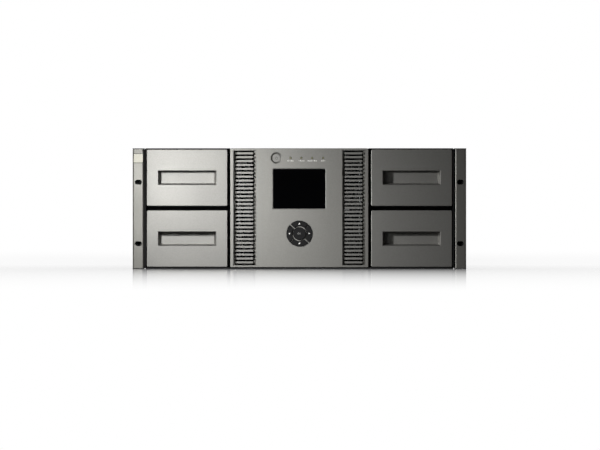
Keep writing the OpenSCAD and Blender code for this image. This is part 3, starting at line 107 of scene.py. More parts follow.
def add_node(
    tree: Tree, kind: str, inputs: Mapping[Any, Any] | None = None, **settings: Any
) -> bpy.types.Node:
    """Adds one node with its settings, values and links.

    Args:
        tree: the node tree that gets the node.
        kind: the node's type name.
        inputs: for each input socket, by name or number, its value or the socket that feeds it.
        settings: the node's own properties.

    Returns:
        The new node.
    """
    node = tree.nodes.new(kind)
    for name, value in settings.items():
        setattr(node, name, value)
    for key, value in (inputs or {}).items():
        if isinstance(value, Socket):
            tree.links.new(value, node.inputs[key])
        else:
            node.inputs[key].default_value = value
    return node


# ---------------------------------------------------------------- finishes


class Axis(Enum):
    """One of the frame's directions."""

    X = 0
    Y = 1
    Z = 2


@dataclass(frozen=True)
class Relief:
    """Fine relief, height_mm high."""

    height_mm: float

    def noise(self, tree: Tree, place: Socket) -> dict[str, Any]:
        """Gives the inputs of the noise that draws the relief, from the Object coordinates."""
        raise NotImplementedError

    def bump(self, tree: Tree, place: Socket) -> Socket:
        """Adds the relief.

        Args:
            tree: the material's node tree.
            place: the Object coordinates.

        Returns:
            The bumped normal.
        """
        noise = add_node(tree, "ShaderNodeTexNoise", self.noise(tree, place))
        return add_node(
            tree,
            "ShaderNodeBump",
            {"Height": noise.outputs["Fac"], "Distance": self.height_mm * MM, "Strength": 1.0},
        ).outputs["Normal"]


@dataclass(frozen=True)
class Grain(Relief):
    """Bumps left by a mould's etching, a coat of paint or a blasted surface, size_mm apart."""

    size_mm: float

    def noise(self, tree: Tree, place: Socket) -> dict[str, Any]:
        """Gives the inputs of an even noise."""
        scale = 1 / (self.size_mm * MM)
        return {"Vector": place, "Scale": scale, "Detail": 2.0, "Roughness": 0.6}


@dataclass(frozen=True)
class Brushing(Relief):
    """Fine parallel scratches along one axis, spaced by spacing_mm and length_mm long."""

    axis: Axis
    spacing_mm: float
    length_mm: float

    def noise(self, tree: Tree, place: Socket) -> dict[str, Any]:
        """Gives the inputs of a noise that is drawn out along the axis."""
        scale = [1 / (self.spacing_mm * MM)] * 3
        scale[self.axis.value] = 1 / (self.length_mm * MM)
        stretched = add_node(tree, "ShaderNodeMapping", {"Vector": place, "Scale": scale})
        return {"Vector": stretched.outputs["Vector"], "Scale": 1.0, "Detail": 3.0}


@dataclass(frozen=True)
class Shades:
    """Slow changes of colour and gloss over a surface.

    size_mm is how far apart light and dark places lie, dark the colour of the dark ones,
    share how far the colour may go towards it, and gloss how much the roughness changes.
    """

    size_mm: float
    dark: str
    share: float
    gloss: float = 0.0


@dataclass(frozen=True)
class Flakes:
    """Small facets that each catch the light in their own way, in paint or in zinc."""

    size_mm: float
    bright: str
    share: float


@dataclass(frozen=True)
class Finish:
    """One real finish: its material, how its surface was made and what that gives the eye."""

    name: str
    slot: str
    colour: str
    roughness: float
    shades: Shades
    relief: Relief | None = None
    metallic: float = 0.0
    ior: float = 1.5
    coat: float = 0.0
    coat_roughness: float = 0.1
    flakes: Flakes | None = None

    def material(self) -> bpy.types.Material:
        """Builds the material, or finds it if it is built already.

        Returns:
            The material.
        """
        known = bpy.data.materials.get(self.name)
        if known:
            return known
        made = bpy.data.materials.new(self.name)
        made.use_nodes = True
        made.diffuse_color = linear(self.colour)
        tree = made.node_tree
        shader = tree.nodes["Principled BSDF"]
        for socket, value in (
            ("Base Color", linear(self.colour)),
            ("Roughness", self.roughness),
            ("Metallic", self.metallic),
            ("IOR", self.ior),
            ("Coat Weight", self.coat),
            ("Coat Roughness", self.coat_roughness),
        ):
            shader.inputs[socket].default_value = value
        place = add_node(tree, "ShaderNodeTexCoord").outputs["Object"]
        if self.relief:
            tree.links.new(self.relief.bump(tree, place), shader.inputs["Normal"])
        self._paint(tree, shader, place)
        return made

    def _paint(self, tree: Tree, shader: bpy.types.Node, place: Socket) -> None:
        """Adds the changes of colour and gloss.

        Args:
            tree: the material's node tree.
            shader: its Principled BSDF.
            place: the Object coordinates.
        """
        shades, flakes = self.shades, self.flakes
        slow = add_node(
            tree,
            "ShaderNodeTexNoise",
            {"Vector": place, "Scale": 1 / (shades.size_mm * MM), "Detail": 4.0},
        ).outputs["Fac"]
        inputs = dict(zip(RANGE, (slow, *COLOUR_BAND, 0.0, shades.share)))
        share = add_node(tree, "ShaderNodeMapRange", inputs).outputs["Result"]
        layers = [(share, shades.dark)]
        if shades.gloss:
            low, high = self.roughness - shades.gloss, self.roughness + shades.gloss
            inputs = dict(zip(RANGE, (slow, *GLOSS_BAND, low, high)))
            rough = add_node(tree, "ShaderNodeMapRange", inputs).outputs["Result"]
            tree.links.new(rough, shader.inputs["Roughness"])
        if flakes:
            inputs = {"Vector": place, "Scale": 1 / (flakes.size_mm * MM)}
            cells = add_node(tree, "ShaderNodeTexVoronoi", inputs).outputs["Color"]
            part = add_node(tree, "ShaderNodeSeparateColor", {"Color": cells}).outputs["Red"]
            share = add_node(
                tree, "ShaderNodeMath", {0: part, 1: flakes.share}, operation="MULTIPLY"
            ).outputs["Value"]
            layers.append((share, flakes.bright))
        colour: Any = linear(self.colour)
        for share, other in layers:
            inputs = {0: share, 6: colour, 7: linear(other)}
            colour = add_node(tree, "ShaderNodeMix", inputs, data_type="RGBA").outputs[2]
        tree.links.new(colour, shader.inputs["Base Color"])


def silver_paint(name: str, colour: str, roughness: float, dark: str, bright: str) -> Finish:
    """Gives metallic silver paint on moulded ABS: a soft sheen with fine sparkling flakes."""
    return Finish(
        name, "silver_paint", colour, roughness, metallic=0.88,
        shades=Shades(size_mm=60, dark=dark, share=0.5, gloss=0.02),
        relief=Grain(size_mm=0.9, height_mm=0.008),
        flakes=Flakes(size_mm=0.8, bright=bright, share=0.3),
    )


def pad_ink(name: str, colour: str, dark: str) -> Finish:
    """Gives pad-printed ink: matt, and a little thin in places."""
    return Finish(
        name, "silver_paint", colour, roughness=0.6,
        shades=Shades(size_mm=2, dark=dark, share=0.5),
        relief=Grain(size_mm=0.4, height_mm=0.004),
    )


# Metallic silver of the magazine fronts and the vents.
SILVER_PAINT = silver_paint(
    "ABS, moulded, metallic silver paint", "#94938f", 0.495, "#8a8986", "#a9a8a4"
)
# The panel in the middle: the same metallic silver made a little lighter, as painted light that
# brightens it beyond what the lamps give.
LIT_PANEL_PAINT = silver_paint(
    "ABS, moulded, lighter metallic silver paint", "#999893", 0.495, "#8f8e8a", "#adaca8"
)
# The covers of the ears: the same metallic silver made darker, as painted shade that dims them
# beyond what the lamps give.
SHADED_EAR_PAINT = silver_paint(
    "ABS, moulded, darker metallic silver paint", "#898883", 0.5, "#807f7a", "#9b9a95"
)
# Zinc plating on sheet steel: a cool bluish grey with faint drawn streaks and zinc facets.
ZINC_STEEL = Finish(
    "Steel sheet, zinc plated", "zinc_steel", "#a9acae", roughness=0.38, metallic=0.85,
    shades=Shades(size_mm=45, dark="#92969a", share=0.6, gloss=0.06),
    relief=Brushing(axis=Axis.Y, spacing_mm=1.2, length_mm=40, height_mm=0.01),
    flakes=Flakes(size_mm=3.0, bright="#c3c6c8", share=0.25),
)
# Black moulded plastic with the matt, slightly pebbled skin of an etched mould.
BLACK_FRAME = Finish(
    "ABS, moulded, matt black", "black_frame", "#0c0c0d", roughness=0.78, ior=1.36,
    shades=Shades(size_mm=40, dark="#0c0c0d", share=0.5, gloss=0.05),
    relief=Grain(size_mm=0.8, height_mm=0.02),
)
# Cast acrylic, printed black on its back: deep black under a clear mirror-like gloss.
WINDOW_ACRYLIC = Finish(
    "Acrylic, cast, black printed back", "gloss_window", "#020203", roughness=0.08, ior=1.3,
    shades=Shades(size_mm=30, dark="#010101", share=0.5, gloss=0.01),
)
# Moulded black keys: satin, a little smoother where fingers press.
KEY_PLASTIC = Finish(
    "ABS, moulded, satin black keys", "black_key", "#0a0a0b", roughness=0.6, ior=1.34,
    shades=Shades(size_mm=6, dark="#121213", share=0.4, gloss=0.05),
    relief=Grain(size_mm=0.6, height_mm=0.008),
)
# Green solder mask on glass-fibre board: glossy, and a little uneven in depth.
CIRCUIT_BOARD = Finish(
    "Glass-fibre board, green solder mask", "circuit_board", "#0f5c33", roughness=0.35, coat=0.3,
    shades=Shades(size_mm=9, dark="#0a4426", share=0.8, gloss=0.05),
    relief=Grain(size_mm=1.2, height_mm=0.01),
)
# Tinted polycarbonate lenses, unlit: a muted olive under a soft gloss.
LIGHT_LENS = Finish(
    "Polycarbonate, tinted lens", "light_lens", "#8a8a70", roughness=0.4, ior=1.585,
    shades=Shades(size_mm=1.5, dark="#7a6f58", share=0.6),
)
# Dark moulded case of the display module, matt.
DISPLAY_CASE = Finish(
    "Polycarbonate, moulded, dark grey", "display_case", "#4a4d51", roughness=0.5,
    shades=Shades(size_mm=12, dark="#3c3f43", share=0.5),
    relief=Grain(size_mm=0.7, height_mm=0.01),
)
# Glass-filled nylon of the cartridge cages: black with a greyish, faintly streaked skin.
CAGE_NYLON = Finish(
    "Nylon, glass filled, moulded black", "cage_plastic", "#26272a", roughness=0.52,
    shades=Shades(size_mm=25, dark="#1b1c1e", share=0.7, gloss=0.06),
    relief=Grain(size_mm=1.4, height_mm=0.02),
)
# Cartridge shells: polycarbonate with a fine spark-eroded texture.
CARTRIDGE_SHELL = Finish(
    "Polycarbonate, moulded, spark eroded", "cartridge_shell", "#39404a", roughness=0.48,
    shades=Shades(size_mm=20, dark="#2d333b", share=0.6, gloss=0.04),
    relief=Grain(size_mm=0.5, height_mm=0.015),
    ior=1.585,
)
# Guides and shelf: dark powder coat on sheet, evenly satin.
GUIDE_PAINT = Finish(
    "Steel sheet, dark powder coat", "guide_plastic", "#3a3c3f", roughness=0.5,
    shades=Shades(size_mm=30, dark="#303234", share=0.5, gloss=0.05),
    relief=Grain(size_mm=1.0, height_mm=0.03),
)
# Machined aluminium: bright, with fine cutter lines across the aisle.
MACHINED_ALUMINIUM = Finish(
    "Aluminium, machined", "machined_aluminium", "#c4c6c8", roughness=0.3, metallic=1.0,
    shades=Shades(size_mm=25, dark="#adb0b3", share=0.6, gloss=0.05),
    relief=Brushing(axis=Axis.X, spacing_mm=0.6, length_mm=30, height_mm=0.006),
)
# Ground steel shafts and rails: mirror bright with grinding lines along them.
GROUND_STEEL = Finish(
    "Steel, ground and polished", "bright_steel", "#bfc1c3", roughness=0.2, metallic=1.0,
    shades=Shades(size_mm=30, dark="#a7aaad", share=0.5, gloss=0.04),
    relief=Brushing(axis=Axis.Y, spacing_mm=0.4, length_mm=60, height_mm=0.003),
)
# Sintered brass gears: yellow, slightly porous.
SINTERED_BRASS = Finish(
    "Brass, sintered", "gear_brass", "#c19a4b", roughness=0.38, metallic=1.0,
    shades=Shades(size_mm=5, dark="#a07c38", share=0.6, gloss=0.06),
    relief=Grain(size_mm=0.35, height_mm=0.012),
)
# Motor cases: steel under a thin black oxide, satin.
MOTOR_OXIDE = Finish(
    "Steel, black oxide", "motor_case", "#3b3c3f", roughness=0.4, metallic=0.6,
    shades=Shades(size_mm=10, dark="#2d2e31", share=0.6, gloss=0.05),
    relief=Brushing(axis=Axis.Z, spacing_mm=0.5, length_mm=14, height_mm=0.005),
)
# Neoprene of the timing belt and the drive seal: dull black with a fabric-like skin.
BELT_NEOPRENE = Finish(
    "Neoprene, moulded belt", "belt_rubber", "#161617", roughness=0.75,
    shades=Shades(size_mm=8, dark="#0f0f10", share=0.5),
    relief=Grain(size_mm=0.5, height_mm=0.04),
)
# Tape drive case: painted steel, dark and satin.
DRIVE_PAINT = Finish(
    "Steel sheet, dark grey paint", "drive_case", "#4d5055", roughness=0.45, metallic=0.2,
    shades=Shades(size_mm=35, dark="#3f4246", share=0.5, gloss=0.05),
    relief=Grain(size_mm=0.9, height_mm=0.02),
)
# Fan rotors: black glass-filled polyester, satin.
FAN_PLASTIC = Finish(
    "Polyester, glass filled, black", "fan_plastic", "#1a1a1b", roughness=0.4,
    shades=Shades(size_mm=10, dark="#111112", share=0.5, gloss=0.05),
    relief=Grain(size_mm=0.8, height_mm=0.01),
)
# Screws and inlet pins: zinc-plated steel, bright with a faint blue.
SCREW_STEEL = Finish(
    "Steel, zinc plated screws", "screw_steel", "#b9bcc0", roughness=0.28, metallic=1.0,
    shades=Shades(size_mm=3, dark="#9da1a6", share=0.6, gloss=0.06),
    relief=Grain(size_mm=0.4, height_mm=0.006),
)
# White ink of the arrows and the rows under the lights: matt and nearly opaque.
WHITE_INK = pad_ink("Ink, pad printed white", "#e9e8e4", "#d5d4d0")
# Thin grey ink on the middle key, quieter than the white.
PALE_INK = pad_ink("Ink, pad printed pale grey", "#a3a29f", "#8d8c89")
# Dark grey ink of the power symbol, which stands out from the silver button.
GREY_INK = pad_ink("Ink, pad printed dark grey", "#4b4a48", "#3d3c3b")
# Bare plate on the ear: a slightly warm, lighter silver without sparkle.
BADGE_PAINT = Finish(
    "ABS, moulded, pale silver plate", "silver_paint", "#a9a79d", roughness=0.5, metallic=0.85,
    shades=Shades(size_mm=6, dark="#9a988e", share=0.5, gloss=0.03),
    relief=Grain(size_mm=0.8, height_mm=0.006),
)
# Paper label on a cartridge: matt off-white with faint fibres.
LABEL_PAPER = Finish(
    "Paper label, matt coated", "cartridge_shell", "#dcdad2", roughness=0.7,
    shades=Shades(size_mm=7, dark="#cfccc2", share=0.5),
    relief=Grain(size_mm=0.7, height_mm=0.01),
)
# Gold-plated contacts: a warm, clean mirror with a trace of wear.
GOLD_CONTACT = Finish(
    "Copper alloy, gold plated", "gear_brass", "#c9a24a", roughness=0.25, metallic=1.0,
    shades=Shades(size_mm=1.5, dark="#b08c3a", share=0.5, gloss=0.05),
    relief=Grain(size_mm=0.3, height_mm=0.004),
)
# Black oxide on spring steel: matt, a little brown where it is thin.
BLACK_OXIDE = Finish(
    "Spring steel, black oxide", "black_frame", "#0b0b0c", roughness=0.8, ior=1.36,
    shades=Shades(size_mm=4, dark="#100c0a", share=0.5, gloss=0.04),
    relief=Grain(size_mm=0.5, height_mm=0.006),
)
# Socket bodies and the rim round the ear's plate: black nylon, matt.
SOCKET_NYLON = Finish(
    "Nylon, moulded, black sockets", "black_frame", "#161618", roughness=0.55,
    shades=Shades(size_mm=5, dark="#0e0e10", share=0.5, gloss=0.05),
    relief=Grain(size_mm=0.6, height_mm=0.01),
)

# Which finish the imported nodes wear, by the starts of their names.
NODE_FINISHES: dict[Finish, tuple[str, ...]] = {
    ZINC_STEEL: (
        "base_pan", "top_cover", "rear_panel", "bay_walls", "ear_brackets", "power_supply",
        "controller_module", "drive_sled",
    ),
    BLACK_FRAME: ("front_frame",),
    GUIDE_PAINT: ("magazine_guides",),
    # The ear covers wear the silver darkened as painted shade.
    SHADED_EAR_PAINT: ("ear_cover",),
    # The front panel wears the silver lightened as painted light.
    LIT_PANEL_PAINT: ("front_panel",),
    SILVER_PAINT: ("vent_grille", "magazine_front", "power_button"),
    WINDOW_ACRYLIC: ("display_window",),
    DISPLAY_CASE: ("display_module",),
    CIRCUIT_BOARD: ("panel_board",),
    LIGHT_LENS: ("status_lights",),
    KEY_PLASTIC: ("key_",),
    CAGE_NYLON: ("magazine_cage", "gripper", "barcode_reader"),
    CARTRIDGE_SHELL: ("cartridges",),
    GROUND_STEEL: ("aisle_rails", "lift_screw"),
    MACHINED_ALUMINIUM: (
        "toothed_rail", "carriage_frame", "lift_pulley", "lift_platform", "turntable",
        "picker_tray",
    ),
    MOTOR_OXIDE: ("robot_motors", "turntable_motor"),
    SINTERED_BRASS: ("carriage_pinion", "turntable_pinion"),
    BELT_NEOPRENE: ("lift_belt",),
    DRIVE_PAINT: ("tape_drive",),
    FAN_PLASTIC: ("fan_rotor",),
    SCREW_STEEL: ("case_screws",),
}


def dress_nodes() -> None:
    """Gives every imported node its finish."""
    finishes = {start: finish for finish, starts in NODE_FINISHES.items() for start in starts}
    for name, node in frame["nodes"].items():
        start = max((known for known in finishes if name.startswith(known)), key=len)
        node.data.materials.clear()
        node.data.materials.append(finishes[start].material())
    log.info("dressed %d nodes", len(frame["nodes"]))


# ---------------------------------------------------------------- building helpers


def finish_piece(
    piece: bpy.types.Object, finish: Finish, body: str, replaced: Sequence[str] = ()
) -> None:
    """Dresses a new piece, lets it ride on its body and logs it.

    Args:
        piece: the new object.
        finish: what it is made of.
        body: the body that carries it.
        replaced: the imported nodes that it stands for.
    """
    piece.data.materials.clear()
    piece.data.materials.append(finish.material())
    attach(piece, body)
    if replaced:
        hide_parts(*replaced)
    log.info("%s rides on %s, %d faces", piece.name, body, len(piece.data.polygons))


def add_object(data: bpy.types.ID) -> bpy.types.Object:
    """Links a new object at the origin to the scene, named as its mesh, light or camera is."""
    made = bpy.data.objects.new(data.name, data)
    bpy.context.scene.collection.objects.link(made)
    return made


def from_bmesh(name: str, build: Callable[[Bmesh], None]) -> bpy.types.Object:
    """Makes an object at the origin from a function that fills a bmesh.

    Args:
        name: the object's name.
        build: fills the bmesh, in metres.

    Returns:
        The new object, linked to the scene.
    """
    bm = bmesh.new()
    build(bm)
    bmesh.ops.recalc_face_normals(bm, faces=bm.faces)
    mesh = bpy.data.meshes.new(name)
    bm.to_mesh(mesh)
    bm.free()
    return add_object(mesh)


def polar(centre: Pair, radius: float, angle: float) -> Pair:
    """Gives the point at a radius and an angle, in radians, from a centre."""
    return centre[0] + radius * math.cos(angle), centre[1] + radius * math.sin(angle)


def bridge(bm: Bmesh, first: Loop, second: Loop) -> None:
    """Joins two closed loops of equally many corners with a band of faces.

    Args:
        bm: the bmesh.
        first: the corners of one loop.
        second: the corners of the other.
    """
    for i, corner in enumerate(first):
        after = (i + 1) % len(first)
        bm.faces.new((corner, first[after], second[after], second[i]))


def prism(bm: Bmesh, outline: Sequence[Pair], span: Pair, axis: Axis = Axis.Y) -> None:
    """Adds a prism along an axis.

    Args:
        bm: the bmesh.
        outline: its corners in the two other axes, such as (x, z), in metres.
        span: where it starts and ends along the axis.
        axis: the axis.
    """
    loops = []
    for level in span:
        loop = []
        for corner in outline:
            point = list(corner)
            point.insert(axis.value, level)
            loop.append(bm.verts.new(point))
        loops.append(loop)
    bm.faces.new(loops[0])
    bm.faces.new(list(reversed(loops[1])))
    bridge(bm, *loops)


def ring_prism(
    bm: Bmesh, centre: Pair, radii: Pair, depth: Pair, span: Pair = (0.0, 360.0), steps: int = 40
) -> None:
    """Adds a flat ring, or a part of one, as seen from the front.

    Args:
        bm: the bmesh.
        centre: its middle as (x, z), in metres.
        radii: its inner and outer radius, in metres.
        depth: its front and back, in metres.
        span: where it starts and ends, in degrees from the x axis.
        steps: how many flats it has.
    """
    whole = span[1] - span[0] >= 360
    count = steps if whole else steps + 1
    angles = [math.radians(span[0] + (span[1] - span[0]) * i / steps) for i in range(count)]
    (inner, outer), (front, back) = radii, depth
    loops = []
    for radius, y in ((inner, front), (outer, front), (outer, back), (inner, back)):
        flat = [polar(centre, radius, angle) for angle in angles]
        loops.append([bm.verts.new((x, y, z)) for x, z in flat])
    for i in range(steps):
        after = (i + 1) % count
        for k, loop in enumerate(loops):
            other = loops[(k + 1) % 4]
            bm.faces.new((loop[i], loop[after], other[after], other[i]))
    if not whole:
        for end in (0, -1):
            bm.faces.new([loop[end] for loop in loops])


def rounded_outline(
    width: float, height: float, radius: float, centre: Pair = (0.0, 0.0), steps: int = 6
) -> list[Pair]:
    """Gives the corners of a rectangle with round corners.

    Args:
        width: its width.
        height: its height.
        radius: the radius of its corners.
        centre: its middle.
        steps: how many flats each round corner has.

    Returns:
        Its corners, in the units that it was given in.
    """
    outline = []
    for quarter, (sx, sz) in enumerate(((1, 1), (-1, 1), (-1, -1), (1, -1))):
        middle = (centre[0] + sx * (width / 2 - radius), centre[1] + sz * (height / 2 - radius))
        for i in range(steps + 1):
            outline.append(polar(middle, radius, math.radians(90 * (quarter + i / steps))))
    return outline


def slab(bm: Bmesh, size: Pair, radius: float, centre: Pair, depth: Pair) -> None:
    """Adds a flat piece with round corners, as seen from the front.

    Args:
        bm: the bmesh.
        size: its width and height, in metres.
        radius: the radius of its corners, in metres.
        centre: its middle as (x, z), in metres.
        depth: its front and back, in metres.
    """
    prism(bm, rounded_outline(*size, radius, centre), depth)


def corners(node: str) -> tuple[Vector, Vector]:
    """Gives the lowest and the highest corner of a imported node's box, in metres."""
    low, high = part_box(node)
    return Vector(low), Vector(high)


def node_middle(node: str) -> Vector:
    """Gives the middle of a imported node's box, in metres."""
    low, high = corners(node)
    return (low + high) / 2


def islands(node: str) -> list[tuple[Vector, Vector]]:
    """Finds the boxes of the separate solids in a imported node.

    Args:
        node: the node's name.

    Returns:
        The lowest and highest corner of each solid, in metres.
    """
    bm = bmesh.new()
    bm.from_mesh(frame["nodes"][node].data)
    bmesh.ops.remove_doubles(bm, verts=bm.verts, dist=1e-6)
    seen: set[bmesh.types.BMVert] = set()
    boxes = []
    for start in bm.verts:
        if start in seen:
            continue
        group, queue = [], [start]
        seen.add(start)
        while queue:
            vert = queue.pop()
            group.append(vert.co.copy())
            for edge in vert.link_edges:
                other = edge.other_vert(vert)
                if other not in seen:
                    seen.add(other)
                    queue.append(other)
        low = Vector(tuple(min(c[k] for c in group) for k in range(3)))
        high = Vector(tuple(max(c[k] for c in group) for k in range(3)))
        boxes.append((low, high))
    bm.free()
    return sorted(boxes, key=lambda box: tuple(box[0]))


# ---------------------------------------------------------------- geometry nodes


def scatter_group(name: str, shape: bpy.types.Object, finish: Finish) -> Tree:
    """Builds a Geometry Nodes group that puts a shape on every point, turned to its direction.

    The points' vector attribute "facing" gives the way that the shape's +Z looks.

    Args:
        name: the group's name.
        shape: the object that is repeated.
        finish: what the copies are made of.

    Returns:
        The group. Its input "Size" scales the copies.
    """
    group = bpy.data.node_groups.new(name, "GeometryNodeTree")
    for label, way, kind in (
        ("Geometry", "INPUT", "Geometry"),
        ("Size", "INPUT", "Float"),
        ("Geometry", "OUTPUT", "Geometry"),
    ):
        group.interface.new_socket(label, in_out=way, socket_type="NodeSocket" + kind)
    start = add_node(group, "NodeGroupInput").outputs
    source = add_node(group, "GeometryNodeObjectInfo", {"Object": shape})
    facing = add_node(
        group, "GeometryNodeInputNamedAttribute", {"Name": "facing"}, data_type="FLOAT_VECTOR"
    ).outputs["Attribute"]
    turn = add_node(group, "FunctionNodeAlignRotationToVector", {"Vector": facing}, axis="Z")
    copies = add_node(
        group,
        "GeometryNodeInstanceOnPoints",
        {
            "Points": start["Geometry"],
            "Instance": source.outputs["Geometry"],
            "Rotation": turn.outputs["Rotation"],
            "Scale": start["Size"],
        },
    ).outputs["Instances"]
    solid = add_node(group, "GeometryNodeRealizeInstances", {"Geometry": copies})
    inputs = {"Geometry": solid.outputs["Geometry"], "Material": finish.material()}
    painted = add_node(group, "GeometryNodeSetMaterial", inputs).outputs["Geometry"]
    add_node(group, "NodeGroupOutput", {"Geometry": painted})
    return group


def scatter(
    name: str,
    shape: bpy.types.Object,
    places: Sequence[tuple[Vector, Vector]],
    finish: Finish,
    size: float = 1.0,
) -> bpy.types.Object:
    """Repeats a shape at the given places, as one plain mesh.

    Args:
        name: the name of the result.
        shape: the object to repeat, drawn at the origin; it is removed afterwards.
        places: for each copy its place, in metres, and the way that its +Z looks.
        finish: what the copies are made of.
        size: scales the copies.

    Returns:
        The new object, linked to the scene.
    """
    points = bpy.data.meshes.new(name + "_places")
    points.from_pydata([tuple(place) for place, _ in places], [], [])
    facing = points.attributes.new("facing", "FLOAT_VECTOR", "POINT")
    for row, (_, way) in zip(facing.data, places):
        row.vector = way
    carrier = add_object(points)
    group = scatter_group(name, shape, finish)
    modifier = carrier.modifiers.new(name, "NODES")
    modifier.node_group = group
    modifier[group.interface.items_tree["Size"].identifier] = size
    bpy.context.view_layer.update()
    evaluated = carrier.evaluated_get(bpy.context.evaluated_depsgraph_get())
    mesh = bpy.data.meshes.new_from_object(evaluated)
    mesh.name = name
    for done in (carrier, shape):
        bpy.data.objects.remove(done)
    bpy.data.node_groups.remove(group)
    return add_object(mesh)


# ---------------------------------------------------------------- control panel


class Mark(Enum):
    """The simple printed pictograms under the status lights."""

    READY = "ready"
    CLEAN = "clean"
    ATTENTION = "attention"
    ERROR = "error"


@dataclass
class ControlPanel:
    """Marks printed on the panel, its keys and its power button."""

    keys: Sequence[str] = ("key_up", "key_down", "key_left", "key_right")
    ink_t: float = 0.02 * MM
    ink_root: float = 0.3 * MM
    arrow: float = 1.5 * MM
    bar_r: float = 0.2 * MM
    key_mark_aside: float = 1.2 * MM
    key_ring: Pair = (0.75 * MM, 1.2 * MM)
    key_bar: Pair = (0.5 * MM, 2.4 * MM)
    power_ring: Pair = (1.5 * MM, 2.05 * MM)
    power_ring_drop: float = 0.2 * MM
    power_arc: Pair = (125.0, 415.0)
    power_bar: Pair = (0.55 * MM, 2.2 * MM)
    power_bar_rise: float = 1.2 * MM
    glyph_r: float = 1.05 * MM
    glyph_pitch: float = 2.3 * MM
    glyph_drop: float = 2.6 * MM

    def build(self) -> None:
        """Adds every mark."""
        for name in self.keys:
            self._arrow(name)
        self._middle_mark()
        self._power_symbol()
        self._pictograms()

    def _depth(self, node: str) -> Pair:
        """Gives the front and the back of ink on a node's front face, in metres."""
        face = corners(node)[0].y
        return face - self.ink_t, face + self.ink_root

    def _arrow(self, name: str) -> None:
        """Prints a small triangle on a ring key, pointing away from the middle key."""
        middle, key = node_middle("key_middle"), node_middle(name)
        outward = Vector((key.x - middle.x, key.z - middle.z)).normalized()
        across = Vector((-outward.y, outward.x))
        reach = max(max(abs(c.x - middle.x), abs(c.z - middle.z)) for c in corners(name))
        inner = abs(corners("key_middle")[0].x - middle.x)
        centre = Vector((middle.x, middle.z)) + outward * (reach + inner) / 2
        foot = centre - outward * self.arrow * 0.6
        tip = centre + outward * self.arrow
        outline = [tip, foot + across * self.arrow, foot - across * self.arrow]

        def fill(bm: Bmesh) -> None:
            prism(bm, [tuple(c) for c in outline], self._depth(name))

        finish_piece(from_bmesh(name + "_mark", fill), WHITE_INK, name)

    def _middle_mark(self) -> None:
        """Prints a ring with a bar beside it on the middle key."""
        middle = node_middle("key_middle")
        depth = self._depth("key_middle")

        def fill(bm: Bmesh) -> None:
            centre = (middle.x - self.key_mark_aside, middle.z)
            ring_prism(bm, centre, self.key_ring, depth, steps=28)
            centre = (middle.x + self.key_mark_aside, middle.z)
            slab(bm, self.key_bar, self.bar_r, centre, depth)

        finish_piece(from_bmesh("key_middle_mark", fill), PALE_INK, "key_middle")

    def _power_symbol(self) -> None:
        """Prints the broken ring and the upright bar on the power button."""
        middle = node_middle("power_button")
        depth = self._depth("power_button")

        def fill(bm: Bmesh) -> None:
            centre = (middle.x, middle.z - self.power_ring_drop)
            ring_prism(bm, centre, self.power_ring, depth, span=self.power_arc)
            centre = (middle.x, middle.z + self.power_bar_rise)
            slab(bm, self.power_bar, self.bar_r, centre, depth)

        finish_piece(from_bmesh("power_symbol", fill), GREY_INK, "power_button")

    def _pictograms(self) -> None:
        """Prints one row of small shapes under each status light."""
        lights = islands("status_lights")
        face = corners("front_panel")[0].y
        depth = (face - 0.5 * self.ink_t, face + self.ink_t)
        z = lights[0][0].z - self.glyph_drop
        counts = {Mark.READY: 4, Mark.CLEAN: 4, Mark.ATTENTION: 6, Mark.ERROR: 3}
        for mark, (low, high) in zip(Mark, lights):
            x = (low.x + high.x) / 2

            def fill(bm: Bmesh) -> None:
                for i in range(counts[mark]):
                    place = (x + (i - (counts[mark] - 1) / 2) * self.glyph_pitch, z)
                    self._glyph(bm, (i + list(Mark).index(mark)) % 4, place, depth)

            finish_piece(from_bmesh(f"light_mark_{mark.value}", fill), WHITE_INK, "chassis")

    def _glyph(self, bm: Bmesh, turn: int, place: Pair, depth: Pair) -> None:
        """Adds one shape of a pictogram row.

        Args:
            bm: the bmesh.
            turn: 0 for a ring, 1 for a bar, 2 for a square and 3 for a triangle.
            place: its middle as (x, z), in metres.
            depth: its front and back, in metres.
        """
        r = self.glyph_r
        if turn == 0:
            ring_prism(bm, place, (0.5 * r, r), depth, steps=16)
        elif turn == 1:
            slab(bm, (1.8 * r, 0.55 * r), 0.2 * r, place, depth)
        elif turn == 2:
            slab(bm, (1.6 * r, 1.6 * r), 0.3 * r, place, depth)
        else:
            x, z = place
            prism(bm, [(x, z + r), (x - r, z - 0.8 * r), (x + r, z - 0.8 * r)], depth)


# ---------------------------------------------------------------- ears


